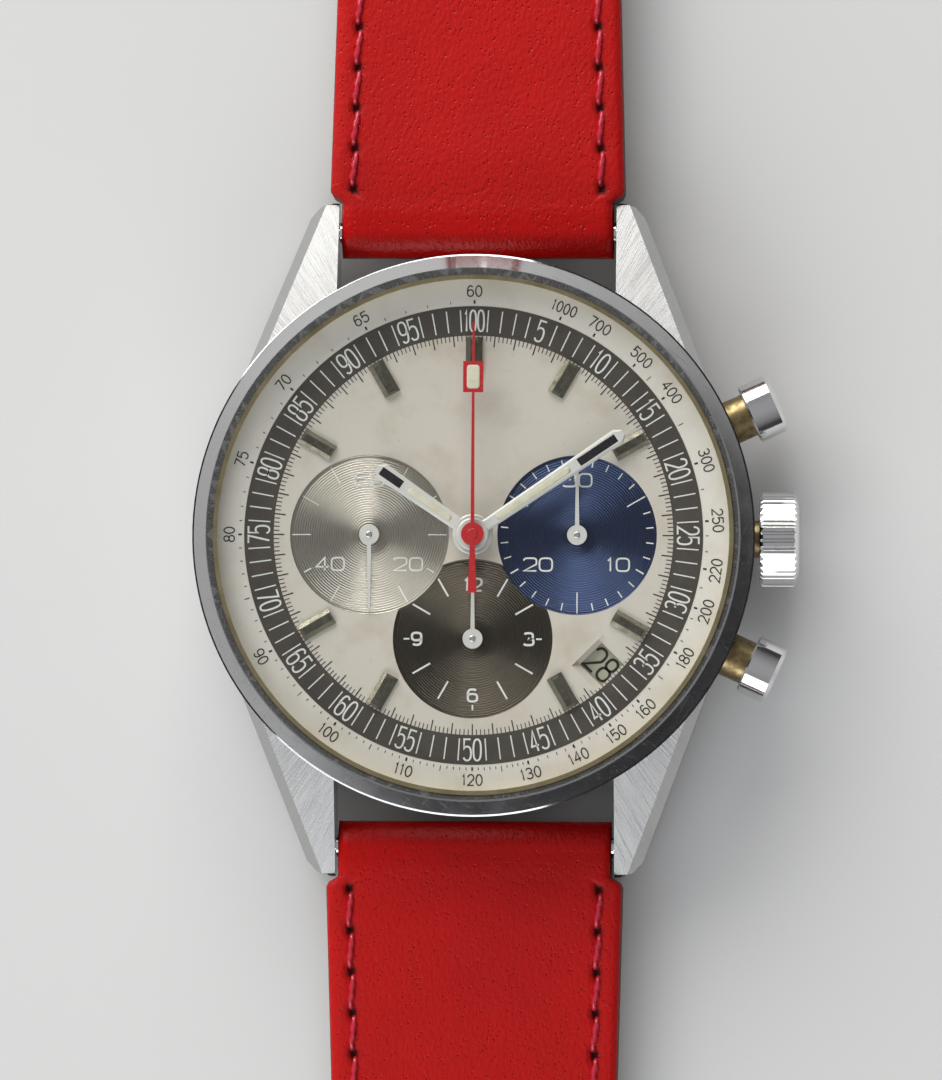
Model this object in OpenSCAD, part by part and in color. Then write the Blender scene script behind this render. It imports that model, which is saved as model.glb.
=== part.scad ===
// Mechanical chronograph wristwatch with a leather strap, lying dial up.
// Twelve o'clock points to +Y, the crown to +X, and the case back rests on z = 0.
// All lengths are millimetres and all angles degrees.

/* [Case] */
// Diameter over the bezel
case_d = 38; // [37:0.5:46]
// How far the middle case stands inside the bezel edge
case_step = 0.15; // [0.05:0.05:0.4]
// Height of the rim of the middle case above the dial
rim_h = 0.75; // [0.5:0.05:1.2]
// Width of the bezel ring seen from the front
bezel_w = 1.1; // [0.8:0.1:2]
// Height of the bezel ring
bezel_h = 1.45; // [1:0.05:2.2]
// Height of the upright outer edge of the bezel
bezel_edge_h = 0.5; // [0.3:0.05:0.8]
// Wall of the crystal foot
crystal_wall = 0.45; // [0.35:0.05:0.8]
// Thickness of the crystal dome
crystal_t = 0.9; // [0.7:0.05:1.4]
// Upright wall of the crystal above the bezel
crystal_wall_h = 0.85; // [0.4:0.05:1.4]
// Rise of the crystal dome above its upright wall
crystal_rise = 2.3; // [1.4:0.1:3.2]
// Wall of the tension ring inside the crystal
tension_t = 0.3; // [0.2:0.05:0.5]
// Height of the tension ring
tension_h = 1.3; // [0.8:0.1:1.6]
// Plate of the case back
back_t = 0.85; // [0.7:0.05:1.4]
// Radius of the flat face that the case rests on
rest_r = 14.2; // [12:0.1:15]
// Width of the case back flange
back_flange_w = 1.1; // [0.8:0.1:1.6]
// Gap between the table and the underside of the middle case
case_lift = 1.5; // [1.1:0.1:2]

/* [Lugs] */
// Gap between a pair of lugs
lug_w = 19; // [16:0.5:22]
// Width of a lug at its tip
lug_tip_w = 1.75; // [1.4:0.05:2.4]
// Rounding of a lug tip around the spring bar
lug_tip_r = 2.05; // [1.6:0.05:2.2]
// Distance of the spring bar from the bezel edge
bar_gap = 2; // [1.9:0.05:3]
// Height of the spring bar above the table
bar_z = 2.9; // [2.6:0.1:3.6]
// Radius of the spring bar
bar_r = 0.75; // [0.6:0.05:0.9]
// Radius of the spring bar tips
bar_tip_r = 0.45; // [0.3:0.05:0.55]
// Width of the polished bevel on the lugs
lug_bevel = 1.1; // [0.3:0.05:1.3]
// Where the lug facet starts, measured in from the bezel edge
lug_top_in = 8.8; // [7:0.1:10]
// How far the lug facet cuts into the rounding of the tip
facet_dip = 0.6; // [0.1:0.05:0.8]
// Length cut off the outer edge of a lug, where its end slants
lug_corner = 0.6; // [0.2:0.05:0.8]

/* [Crown and pushers] */
// Crown radius
crown_r = 3.2; // [2.8:0.1:4]
// Crown length
crown_h = 2.7; // [2.2:0.1:3.4]
// Flutes around the crown
crown_flutes = 38; // [24:1:48]
// Pull of the crown into the setting position
crown_pull = 1.5; // [1:0.1:2]
// Winding stem radius
stem_r = 0.5; // [0.4:0.05:0.6]
// Angle of each pusher above or below the crown
pusher_angle = 24.5; // [22:0.5:32]
// Radius of a pusher cap
cap_r = 2.05; // [1.7:0.05:2.4]
// Length of a pusher cap
cap_h = 2.15; // [1.6:0.05:2.8]
// Radius of a pusher stem
pusher_stem_r = 0.8; // [0.6:0.05:0.9]
// Travel of a pusher
pusher_travel = 0.9; // [0.6:0.05:1]

/* [Dial] */
// Thickness of the dial
dial_t = 0.45; // [0.4:0.05:0.7]
// Distance of each small dial from the centre
sub_d = 6.9; // [6.4:0.1:7.4]
// Radius of each small dial
sub_r = 5.3; // [4.4:0.1:5.4]
// Depth of the seat of a small dial
sub_seat = 0.28; // [0.2:0.02:0.34]
// Thickness of a small dial plate
sub_t = 0.15; // [0.1:0.01:0.18]
// Inner radius of the hour markers
marker_in = 10.8; // [10:0.1:11.5]
// Length of an hour marker
marker_l = 2.4; // [1.5:0.1:2.5]
// Width of an hour marker
marker_w = 1.1; // [0.7:0.05:1.3]
// Height of an hour marker
marker_h = 0.3; // [0.2:0.02:0.4]
// Distance of the date window from the centre
date_r = 12.1; // [11.9:0.1:12.4]
// Side of the date window
date_w = 2.05; // [1.6:0.05:2.2]

/* [Hands] */
// Thickness of a hand
hand_t = 0.16; // [0.12:0.02:0.22]
// Gap between one hand and the next
hand_gap = 0.22; // [0.18:0.02:0.3]
// Length of the hour hand
hour_l = 7.8; // [6:0.1:9]
// Length of the minute hand
minute_l = 12.1; // [10:0.1:13]
// Length of the central chronograph hand
chrono_l = 14.2; // [12:0.1:15]
// Tail of the central chronograph hand
chrono_tail = 3.9; // [2.5:0.1:5]
// Length of a small hand
small_l = 4.9; // [3.5:0.1:5]
// Hour shown on the dial, in hours
shown_h = 10.155; // [0:0.005:12]

/* [Movement] */
// Radius of the main plate
plate_r = 14.8; // [14.6:0.1:15]
// Thickness of the main plate
plate_t = 1.1; // [0.9:0.05:1.4]
// Thickness of the train bridge
bridge_t = 0.6; // [0.5:0.05:0.9]
// Thickness of a train wheel
wheel_t = 0.2; // [0.16:0.01:0.25]
// Gap between one wheel level and the next
wheel_gap = 0.14; // [0.1:0.01:0.2]
// Thickness of the rotor
rotor_t = 0.8; // [0.6:0.05:1.2]
// Gap around the rotor
rotor_gap = 0.25; // [0.2:0.05:0.4]
// Thickness of the date disc
date_t = 0.25; // [0.15:0.01:0.3]
// Balance radius
balance_r = 3.2; // [2.6:0.1:3.4]
// Barrel radius over the drum
drum_r = 4.75; // [4.2:0.05:4.85]

/* [Strap] */
// Length of the buckle half from bar to buckle pin
buckle_half_l = 75; // [66:1:95]
// Length of the tail half from bar to tip
tail_half_l = 112; // [100:1:135]
// Width of the strap where it leaves the lugs
strap_flare = 0.6; // [0.3:0.05:1]
// Width of the strap at the buckle
buckle_w = 18; // [14:0.5:18.5]
// Thickness of the strap at the buckle
strap_t = 2.3; // [1.8:0.1:3]
// Radius of the strap roll around the spring bar
roll_r = 1.75; // [1.4:0.05:1.8]
// Distance from the bar over which the strap narrows
taper_l = 44; // [30:1:48]
// Pitch of the buckle holes
hole_pitch = 7; // [6:0.5:8]
// Radius of a buckle hole
hole_r = 0.9; // [0.8:0.05:1.2]
// Wall of the keepers
keeper_t = 0.85; // [0.7:0.05:1.2]
// Length of a keeper along the strap
keeper_l = 5; // [4:0.5:6]
// Thickness of the buckle frame
buckle_t = 1.8; // [1.4:0.1:2.4]
// Length of the buckle opening
buckle_gap = 8; // [7:0.5:10]
// Radius of the buckle pin
pin_r = 0.6; // [0.5:0.05:0.8]

/* [Fits] */
// Running clearance of pivots and sliding stems
run_c = 0.03; // [0.02:0.01:0.05]
// Clearance between the strap and a lug
strap_c = 0.2; // [0.15:0.05:0.4]

/* [Hidden] */
$fn = 64;
RED = [0.72, 0.1, 0.09];
STEEL = [0.78, 0.79, 0.8];
BRASS = [0.8, 0.66, 0.36];
CREAM = [0.9, 0.88, 0.82];

case_r = case_d / 2;
mid_r = case_r - case_step;
crystal_r = case_r - bezel_w;
tension_r = crystal_r - crystal_wall;
dial_r = tension_r - tension_t + 0.15;
bore_r = plate_r + 0.6;

z_floor = back_t;
z_rotor = z_floor + rotor_gap;
z_auto = z_rotor + rotor_t + 0.15;
auto_t = 0.3;
z_bridge = z_auto + auto_t + 0.15;
z_bridge1 = z_bridge + bridge_t;
z_plate = z_bridge1 + 6 * (wheel_t + wheel_gap) + wheel_gap;
z_plate1 = z_plate + plate_t;
motion_t = 0.18;
motion_gap = 0.1;
z_dial = z_plate1 + 2 * motion_t + 3 * motion_gap;
z_dial1 = z_dial + dial_t;
z_rim = z_dial1 + rim_h;
z_bezel1 = z_rim + bezel_h;
z_wall1 = z_bezel1 + crystal_wall_h;
z_apex = z_wall1 + crystal_rise;
z_axis = z_plate - 1.05;
z_sub = z_dial1 - sub_seat + sub_t;

back_skirt_r = bore_r - 0.4;
back_hollow_r = back_skirt_r - 0.7;
skirt_h = z_bridge - 0.2 - case_lift;
rotor_r = back_hollow_r - 0.4;
bridge_r = plate_r - 0.4;

bar_y = case_r + bar_gap;
lug_top_y = case_r - lug_top_in;
tip_x = lug_w / 2 + lug_tip_w;
lug_dip = 0.35;
tip_dip = 0.04;

// Tooth counts of the going train, the winding train and the counters
CENTER_T = 64;
CENTER_P = 12;
THIRD_T = 60;
THIRD_P = 8;
FOURTH_T = 90;
FOURTH_P = 8;
ESCAPE_T = 20;
ESCAPE_P = 6;
BARREL_T = 72;
ROTOR_P = 24;
REVERSE_T = 26;
RATCHET_T = 44;
CHRONO_P = 8;
MIDDLE_T = 40;
MIDDLE_P = 8;
COUNTER_T = 48;
CANNON_T = 12;
MINUTE_T = 36;
MINUTE_P = 10;
HOUR_T = 40;

m_center = 0.13;
m_third = 0.122;
m_fourth = 0.078;
m_barrel = 0.143;
m_chrono = 0.12;
m_counter = (2 * sub_d - (CHRONO_P + MIDDLE_T) * m_chrono) / (MIDDLE_P + COUNTER_T);
m_cannon = 0.16;
m_hour = m_cannon * (CANNON_T + MINUTE_T) / (MINUTE_P + HOUR_T);

barrel_d = (BARREL_T + CENTER_P) * m_barrel / 2;
barrel_a = 60;
barrel_at = barrel_d * [cos(barrel_a), sin(barrel_a)];
m_auto = 2 * barrel_d / (ROTOR_P + 2 * REVERSE_T + RATCHET_T);
reverse_at = (ROTOR_P + REVERSE_T) * m_auto / 2 * [cos(barrel_a), sin(barrel_a)];
fourth_at = [-sub_d, 0];
minute_at = [sub_d, 0];
hour_at = [0, -sub_d];
third_d = (CENTER_T + THIRD_P) * m_center / 2;
fourth_d = (THIRD_T + FOURTH_P) * m_third / 2;
third_x = (third_d * third_d - fourth_d * fourth_d + sub_d * sub_d) / (2 * sub_d);
third_at = [-third_x, -sqrt(third_d * third_d - third_x * third_x)];
third_a = atan2(third_at[1], third_at[0]);
to_fourth_a = atan2(-third_at[1], fourth_at[0] - third_at[0]);
escape_a = 205;
escape_at = fourth_at + (FOURTH_T + ESCAPE_P) * m_fourth / 2 * [cos(escape_a), sin(escape_a)];
balance_at = 10.3 * [cos(230), sin(230)];
fork_a = atan2(balance_at[1] - escape_at[1], balance_at[0] - escape_at[0]);
fork_d = 2.25;
fork_at = escape_at + fork_d * [cos(fork_a), sin(fork_a)];
fork_l = norm(balance_at - fork_at) - 0.65;
middle_at = [(CHRONO_P + MIDDLE_T) * m_chrono / 2, 0];
motion_a = 60;
motion_at = (CANNON_T + MINUTE_T) * m_cannon / 2 * [cos(motion_a), sin(motion_a)];
cock_at = 12.8 * [cos(262), sin(262)];
PILLARS = [[-3.4, 12.5], [-12, 5], [4.5, -12.2]];

pivot_r = 0.15;
arbor_r = 0.2;
tube_r = 0.5;
cannon_r = 0.72;
pipe_r = cannon_r + run_c + 0.22;
post_r = 0.57;
stud_r = 0.27;
barrel_arbor_r = 0.6;
core_r = 1;
drum_wall = 0.3;
lid_t = 0.15;

crown_x = case_r + 0.3;
crown_tube_r = 1.25;
crown_tube_x = crown_x + 0.95;
cap_x = case_r + 1.4;
pusher_tube_r = 1.5;
spring_room_r = 1.2;
tube_end_x = cap_x + 0.15;
cup_x = cap_x + pusher_travel + 0.3;
cup_r = pusher_tube_r + 0.08;
spring_x = bore_r + 1.6;
stem_x = sub_d + (COUNTER_T / 2 + 1) * m_counter + 0.2;
pinion_x = stem_x + 1.7;
pinion_r = 0.95;
pinion_l = 0.9;

hour_angle = 90 - 30 * shown_h;
minute_angle = 90 - 360 * (shown_h - floor(shown_h));
hub_r = 0.66;

strap_in_w = lug_w - 2 * strap_c;
strap_w = lug_w + 2 * strap_flare;
notch_s = lug_tip_r + 0.25;
strap_low = keeper_t + 0.1;
roll_bore = bar_r + 0.06;
pin_z = strap_low + strap_t / 2;
pin_y = bar_y + buckle_half_l;
fixed_s = buckle_half_l - 6.5;
free_s = fixed_s - keeper_l - 6;
keeper_top = strap_low + 2 * strap_t + 0.3;
arm_x = buckle_w / 2 + 0.35;
arm_w = 1.7;
front_w = 2.2;
front_y = pin_y + 1.6 + buckle_gap;
slot_w = 2.8;
tongue_w = 2;
holes_n = 7;
tip_l = 14;

function spot(r, a) = [r * cos(a), r * sin(a)];

// Height of level i between the train bridge and the main plate
function level(i) = z_bridge1 + wheel_gap + i * (wheel_t + wheel_gap);

// Underside of hand i, counted up from the small hands
function hand_z(i) = z_dial1 + hand_gap + i * (hand_t + hand_gap);

// Outline of a wheel with n trapezoid teeth of module m
function teeth(n, m) = [
    for (i = [0 : n - 1])
        for (q = [[-1, -0.27], [0.8, -0.1], [0.8, 0.1], [-1, 0.27]])
            spot((n / 2 + q[0]) * m, (i + q[1]) * 360 / n)
];

// Outline of a flat spiral ribbon of width w from radius r0 to r1
function spiral(r0, r1, turns, w, steps) = let (
    n = turns * steps,
    mid = [for (i = [0 : n]) [r0 + (r1 - r0) * i / n, 360 * i / steps]]
) concat(
    [for (p = mid) spot(p[0] + w / 2, p[1])],
    [for (i = [n : -1 : 0]) spot(mid[i][0] - w / 2, mid[i][1])]
);

// Point where a line from p touches a circle at c, on the left or right side
function touch(p, c, r, side) = let (
    v = p - c,
    a = atan2(v[1], v[0]) + side * acos(r / norm(v))
) c + spot(r, a);

// Arc of straight pieces around c from angle a to angle b
function bow(c, r, a, b) = [for (i = [0 : 12]) c + spot(r, a + (b - a) * i / 12)];

// Puts a wheel's first tooth on the line at angle a, or a gap when gap is 1
module wheel(n, m, z, t, a, gap = 0) {
    translate([0, 0, z])
        rotate(a + gap * 180 / n)
            linear_extrude(t)
                polygon(teeth(n, m));
}

module rod(r, z0, z1) {
    translate([0, 0, z0])
        cylinder(r = r, h = z1 - z0);
}

module ring(r1, r0, z0, z1) {
    translate([0, 0, z0])
        linear_extrude(z1 - z0)
            difference() {
                circle(r1);
                circle(r0);
            }
}

module at(p) {
    translate([p[0], p[1], 0])
        children();
}

// Turns an upright piece so that its axis points outwards at angle a
module radial(a) {
    rotate(a)
        translate([0, 0, z_axis])
            rotate([0, 90, 0])
                children();
}

// Spreads a wheel into a rim, a hub and spokes by cutting windows
module windows(r1, r0, n, z, t) {
    for (i = [0 : n - 1])
        translate([0, 0, z - 0.05])
            rotate((i + 0.5) * 360 / n)
                linear_extrude(t + 0.1)
                    intersection() {
                        difference() {
                            circle(r1);
                            circle(r0);
                        }
                        polygon([[0, 0], spot(2 * r1, -140 / n), spot(2 * r1, 140 / n)]);
                    }
}

// Side view of a lug: a rounded tip and a sloping facet that cuts into it
module lug_side() {
    c = [bar_y, bar_z];
    p = [lug_top_y, z_rim];
    facet = touch(p, c, lug_tip_r - facet_dip, -1) - p;
    start = p - 0.1 * facet;
    end = p + 1.5 * facet;
    high = [lug_top_y, z_rim + 0.5];
    t = touch(high, c, lug_tip_r - tip_dip, -1);
    u = touch([mid_r - 3, case_lift], c, lug_tip_r - tip_dip, 1);
    difference() {
        union() {
            translate(c)
                circle(lug_tip_r);
            polygon([high, t, c, u, [mid_r - 3, case_lift], [lug_top_y, case_lift]]);
        }
        polygon([start, end, [end[0], z_rim + 2], [start[0], z_rim + 2]]);
    }
}

// Seen from above, a lug is bounded by its inner face, a line that touches the case and a
// slanted end
module lug_plan() {
    tip = [tip_x, bar_y + lug_tip_r * 0.75];
    t = touch(tip, [0, 0], mid_r - lug_dip, -1);
    low = tip + lug_corner * (t - tip) / norm(t - tip);
    polygon([[lug_w / 2, lug_top_y], [lug_w / 2, bar_y + lug_tip_r + 0.1],
        [tip_x - 0.8 * lug_corner, tip[1] + 0.2], low, t, [lug_w / 2, t[1]]]);
}

module lug_bevel_cut() {
    tip = [tip_x, bar_y + lug_tip_r * 0.75];
    t = touch(tip, [0, 0], mid_r - lug_dip, -1);
    side = touch([lug_top_y, z_rim], [bar_y, bar_z], lug_tip_r - facet_dip, -1);
    slope = (z_rim - side[1]) / (side[0] - lug_top_y);
    z_tip = z_rim - slope * (tip[1] - lug_top_y);
    z_t = z_rim - slope * (t[1] - lug_top_y);
    run = tip - t;
    pitch = atan2(z_t - z_tip, norm(run));
    translate([tip[0], tip[1], z_tip])
        rotate(atan2(run[1], run[0]))
            rotate([0, pitch, 0])
                rotate([45, 0, 0])
                    cube([2 * norm(run), lug_bevel, lug_bevel], center = true);
}

module lug() {
    difference() {
        intersection() {
            linear_extrude(z_rim + 1)
                lug_plan();
            rotate([90, 0, 90])
                linear_extrude(case_r)
                    lug_side();
        }
        lug_bevel_cut();
        translate([lug_w / 2 - 1, bar_y, bar_z])
            rotate([0, 90, 0])
                cylinder(r = bar_tip_r + run_c, h = 2.15);
    }
}

// Middle case: ring with lugs, seats for the dial, crystal and case back, and three cross bores
module mid_case() {
    color(STEEL)
        difference() {
            union() {
                rotate_extrude()
                    polygon([[bore_r - 1, case_lift], [mid_r - 1.4, case_lift],
                        [mid_r, case_lift + 1.2], [mid_r, z_rim], [bore_r - 1, z_rim]]);
                for (x = [0, 1])
                    for (y = [0, 1])
                        mirror([x, 0, 0])
                            mirror([0, y, 0])
                                lug();
            }
            for (s = [-1, 0, 1])
                radial(s * pusher_angle)
                    rod(s == 0 ? crown_tube_r : pusher_tube_r, bore_r - 3, case_r + 2);
            rotate_extrude()
                polygon([[0, 0], [back_skirt_r + 0.9, 0], [back_skirt_r + 0.9, case_lift + 0.45],
                    [bore_r, case_lift + 0.45], [bore_r, z_dial], [dial_r + 0.05, z_dial],
                    [dial_r + 0.05, z_dial1], [crystal_r, z_dial1], [crystal_r, z_rim + 1],
                    [0, z_rim + 1]]);
        }
}

module bezel() {
    color(STEEL)
        rotate_extrude()
            polygon([[crystal_r, z_rim], [case_r - 0.08, z_rim], [case_r, z_rim + 0.08],
                [case_r, z_rim + bezel_edge_h], [case_r - 0.12, z_rim + bezel_edge_h + 0.1],
                [crystal_r + 0.12, z_bezel1], [crystal_r, z_bezel1]]);
}

// Ball of the dome through the wall top and the apex
function dome_r() = (crystal_r * crystal_r + crystal_rise * crystal_rise) / (2 * crystal_rise);

module crystal() {
    color([0.85, 0.9, 0.95, 0.35])
        difference() {
            intersection() {
                rod(crystal_r, z_dial1, z_apex + 1);
                translate([0, 0, z_apex - dome_r()])
                    sphere(dome_r());
            }
            intersection() {
                rod(tension_r, z_dial1 - 1, z_apex + 1);
                translate([0, 0, z_apex - dome_r()])
                    sphere(dome_r() - crystal_t);
            }
        }
}

module tension_ring() {
    color(BRASS)
        ring(tension_r, tension_r - tension_t, z_dial1, z_dial1 + tension_h);
}

module case_back() {
    color(STEEL)
        difference() {
            rotate_extrude()
                polygon([[0, 0], [rest_r, 0], [back_skirt_r + back_flange_w, 0.7],
                    [back_skirt_r + back_flange_w, case_lift], [back_skirt_r, case_lift],
                    [back_skirt_r, case_lift + skirt_h], [0, case_lift + skirt_h]]);
            rod(back_hollow_r, z_floor, z_plate);
            for (a = [0 : 60 : 359])
                rotate(a + 30)
                    translate([back_skirt_r - 0.15, -0.9, -0.1])
                        cube([4, 1.8, 0.75]);
        }
}

module case_back_gasket() {
    color([0.1, 0.1, 0.1])
        ring(back_skirt_r + 0.75, back_skirt_r, case_lift, case_lift + 0.4);
}

// Tubes of the crown and of the two pushers, pressed into the case
module case_tubes() {
    color(BRASS) {
        radial(0)
            difference() {
                rod(crown_tube_r, bore_r, crown_tube_x);
                rod(stem_r + run_c, bore_r - 1, crown_tube_x + 1);
            }
        for (s = [-1, 1])
            radial(s * pusher_angle)
                difference() {
                    rod(pusher_tube_r, bore_r, tube_end_x);
                    rod(pusher_stem_r + run_c, bore_r - 1, tube_end_x + 1);
                    rod(spring_room_r, spring_x, tube_end_x + 1);
                }
    }
}

module spring_bars() {
    color(STEEL)
        for (s = [-1, 1])
            translate([0, s * bar_y, bar_z])
                rotate([0, 90, 0]) {
                    rod(bar_r, -lug_w / 2 + 0.05, lug_w / 2 - 0.05);
                    rod(bar_tip_r, -lug_w / 2 - 1, lug_w / 2 + 1);
                }
}

module crown() {
    color(STEEL)
        radial(0)
            difference() {
                intersection() {
                    translate([0, 0, crown_x])
                        linear_extrude(crown_h)
                            polygon([for (i = [0 : crown_flutes - 1])
                                for (q = [[-0.22, -0.4], [0, -0.2], [0, 0.2], [-0.22, 0.4]])
                                    spot(crown_r + q[0], (i + q[1]) * 360 / crown_flutes)]);
                    rotate_extrude()
                        polygon([[0, crown_x], [crown_r - 0.3, crown_x], [crown_r, crown_x + 0.25],
                            [crown_r, crown_x + crown_h - 0.35],
                            [crown_r - 0.45, crown_x + crown_h - 0.08],
                            [crown_r - 0.9, crown_x + crown_h], [0, crown_x + crown_h]]);
                }
                rod(crown_tube_r + 0.45, crown_x - 1, crown_tube_x + 0.25);
            }
}

module winding_stem() {
    color(STEEL)
        radial(0)
            rod(stem_r, stem_x, crown_tube_x + 0.25);
}

module crown_gasket() {
    color([0.1, 0.1, 0.1])
        radial(0)
            ring(crown_tube_r + 0.43, crown_tube_r + run_c, crown_x + 0.2, crown_x + 0.65);
}

// Toothed sleeve that turns with the stem while the stem slides through it
module winding_pinion() {
    color(STEEL)
        radial(0)
            difference() {
                wheel(14, 2 * pinion_r / 15.6, pinion_x, pinion_l, 0);
                rod(stem_r + run_c, pinion_x - 1, pinion_x + 2);
            }
}

module pusher() {
    rotate_extrude()
        polygon([[0, bore_r - 0.3], [pusher_stem_r + 0.15, bore_r - 0.3],
            [pusher_stem_r + 0.15, bore_r - 0.05], [pusher_stem_r, bore_r - 0.05],
            [pusher_stem_r, cup_x], [cup_r, cup_x], [cup_r, cap_x],
            [cap_r - 0.12, cap_x], [cap_r, cap_x + 0.12],
            [cap_r, cap_x + cap_h - 0.3], [cap_r - 0.25, cap_x + cap_h - 0.06],
            [cap_r - 0.5, cap_x + cap_h], [0, cap_x + cap_h]]);
}

module start_pusher() {
    color(STEEL)
        radial(pusher_angle)
            pusher();
}

module reset_pusher() {
    color(STEEL)
        radial(-pusher_angle)
            pusher();
}

// Coil of round wire as a closed band of six-sided rings
module coil(r, wire, z0, z1, turns) {
    n = turns * 12;
    pts = [for (i = [0 : n]) for (k = [0 : 5])
        let (a = 30 * i, q = r + wire * cos(60 * k))
        [q * cos(a), q * sin(a), z0 + wire + (z1 - z0 - 2 * wire) * i / n + wire * sin(60 * k)]];
    polyhedron(pts, concat(
        [[for (k = [0 : 5]) k]],
        [for (i = [0 : n - 1]) for (k = [0 : 5])
            [6 * i + k, 6 * i + 6 + k, 6 * i + 6 + (k + 1) % 6, 6 * i + (k + 1) % 6]],
        [[for (k = [5 : -1 : 0]) 6 * n + k]]));
}

module start_pusher_spring() {
    color(STEEL)
        radial(pusher_angle)
            coil(1.01, 0.1, spring_x + 0.02, cup_x - 0.02, 6);
}

module reset_pusher_spring() {
    color(STEEL)
        radial(-pusher_angle)
            coil(1.01, 0.1, spring_x + 0.02, cup_x - 0.02, 6);
}

module sub_seats(c) {
    for (p = [fourth_at, minute_at, hour_at])
        at(p)
            circle(sub_r + c);
}

// Opening for the date, with the two long sides sloped
module date_window() {
    rotate(-45) {
        translate([date_r - date_w / 2, -date_w / 2, z_dial - 1])
            cube([date_w, date_w, 3]);
        translate([date_r - date_w / 2 - 0.3, 0, z_dial + 0.1])
            rotate([90, 0, 90])
                linear_extrude(date_w + 0.3)
                    polygon([[-date_w / 2, 0], [date_w / 2, 0],
                        [date_w / 2 + 0.6, dial_t], [-date_w / 2 - 0.6, dial_t]]);
    }
}

module dial() {
    color(CREAM)
        difference() {
            rod(dial_r, z_dial, z_dial1);
            translate([0, 0, z_dial1 - sub_seat])
                linear_extrude(1)
                    sub_seats(0);
            date_window();
            rod(pipe_r + 0.1, z_dial - 1, z_dial1 + 1);
            for (p = [fourth_at, minute_at, hour_at])
                at(p)
                    rod(arbor_r + 0.1, z_dial - 1, z_dial1 + 1);
        }
}

module small_dial(p) {
    translate([0, 0, z_dial1 - sub_seat])
        linear_extrude(sub_t)
            difference() {
                at(p)
                    circle(sub_r);
                at(p)
                    circle(arbor_r + 0.1);
                circle(pipe_r + 0.1);
            }
}

module seconds_subdial() {
    color([0.62, 0.62, 0.63])
        small_dial(fourth_at);
}

module minutes_subdial() {
    color([0.1, 0.15, 0.3])
        small_dial(minute_at);
}

// The lower small dial is cut where the two side dials lie over it
module hours_subdial() {
    color([0.25, 0.23, 0.22])
        difference() {
            small_dial(hour_at);
            translate([0, 0, z_dial])
                linear_extrude(1) {
                    at(fourth_at)
                        circle(sub_r);
                    at(minute_at)
                        circle(sub_r);
                }
        }
}

module marker(w) {
    translate([marker_in, 0, z_dial1])
        rotate([90, 0, 90])
            linear_extrude(marker_l)
                polygon([[-w / 2, 0], [w / 2, 0], [w / 2, marker_h * 0.55],
                    [w / 4, marker_h], [-w / 4, marker_h], [-w / 2, marker_h * 0.55]]);
}

module hour_markers() {
    color([0.3, 0.3, 0.31])
        for (h = [0 : 11])
            rotate(90 - 30 * h)
                if (h == 0 || h % 3 != 0)
                    marker(marker_w);
}

// Ring of the date with one notch for each day on its inner edge
module date_disc() {
    color([0.78, 0.8, 0.74])
        translate([0, 0, z_plate1 + 0.2])
            linear_extrude(date_t)
                difference() {
                    circle(plate_r - 0.5);
                    polygon([for (i = [0 : 30])
                        for (q = [[10.4, -0.3], [10.8, -0.2], [10.8, 0.2], [10.4, 0.3]])
                            spot(q[0], (i + q[1]) * 360 / 31)]);
                }
}

// Baton with cut corners and a hub, pointing along +X before it is turned
module baton(l, w0, w1, hub, bore, z) {
    translate([0, 0, z])
        linear_extrude(hand_t)
            difference() {
                union() {
                    circle(hub);
                    polygon([[0, -w0 / 2], [l - 0.45, -w1 / 2], [l, -w1 / 5],
                        [l, w1 / 5], [l - 0.45, w1 / 2], [0, w0 / 2]]);
                }
                circle(bore);
            }
}

module hour_hand() {
    color(CREAM)
        rotate(hour_angle)
            baton(hour_l, 0.85, 1.15, pipe_r + 0.35, pipe_r, hand_z(1));
}

module minute_hand() {
    color(CREAM)
        rotate(minute_angle)
            baton(minute_l, 0.75, 1.1, cannon_r + 0.35, cannon_r, hand_z(2));
}

// Needle with a framed box towards its tip and a widening tail
module chrono_seconds_hand() {
    color(RED)
        translate([0, 0, hand_z(3)])
            linear_extrude(hand_t)
                difference() {
                    union() {
                        circle(0.75);
                        polygon([[-0.07, chrono_l], [-0.13, 0], [-0.3, -chrono_tail],
                            [0.3, -chrono_tail], [0.13, 0], [0.07, chrono_l]]);
                        translate([-0.675, 9.45])
                            square([1.35, 2.1]);
                    }
                    circle(arbor_r);
                }
}

module small_hand(p, a) {
    at(p)
        rotate(a)
            translate([0, 0, hand_z(0)])
                linear_extrude(hand_t)
                    difference() {
                        union() {
                            circle(hub_r);
                            polygon([[0, -0.15], [small_l, -0.08], [small_l, 0.08], [0, 0.15]]);
                        }
                        circle(arbor_r);
                    }
}

module running_seconds_hand() {
    color(CREAM)
        small_hand(fourth_at, -90);
}

module minute_counter_hand() {
    color(CREAM)
        small_hand(minute_at, 90);
}

module hour_counter_hand() {
    color(CREAM)
        small_hand(hour_at, 90);
}

module movement_ring() {
    color(BRASS)
        ring(bore_r, plate_r, z_plate, z_dial);
}

// Holes for every arbor that runs in the main plate
module main_plate() {
    color(BRASS)
        difference() {
            union() {
                rod(plate_r, z_plate, z_plate1);
                at(motion_at)
                    rod(stud_r, z_plate, z_dial - motion_gap);
            }
            rod(tube_r + run_c, z_plate - 1, z_dial);
            for (p = [fourth_at, minute_at, hour_at])
                at(p)
                    rod(arbor_r + run_c, z_plate - 1, z_dial);
            for (p = [third_at, escape_at, fork_at, balance_at])
                at(p)
                    rod(pivot_r + run_c, z_plate - 1, z_plate + 0.5);
            at(barrel_at)
                rod(barrel_arbor_r + run_c, z_plate - 1, z_plate + 0.5);
            for (p = concat(PILLARS, [cock_at]))
                at(p)
                    rod(0.4, z_plate - 1, z_plate + 0.75);
            radial(0)
                rod(pinion_r + 0.3, pinion_x - 0.3, pinion_x + pinion_l + 0.3);
        }
}

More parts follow.
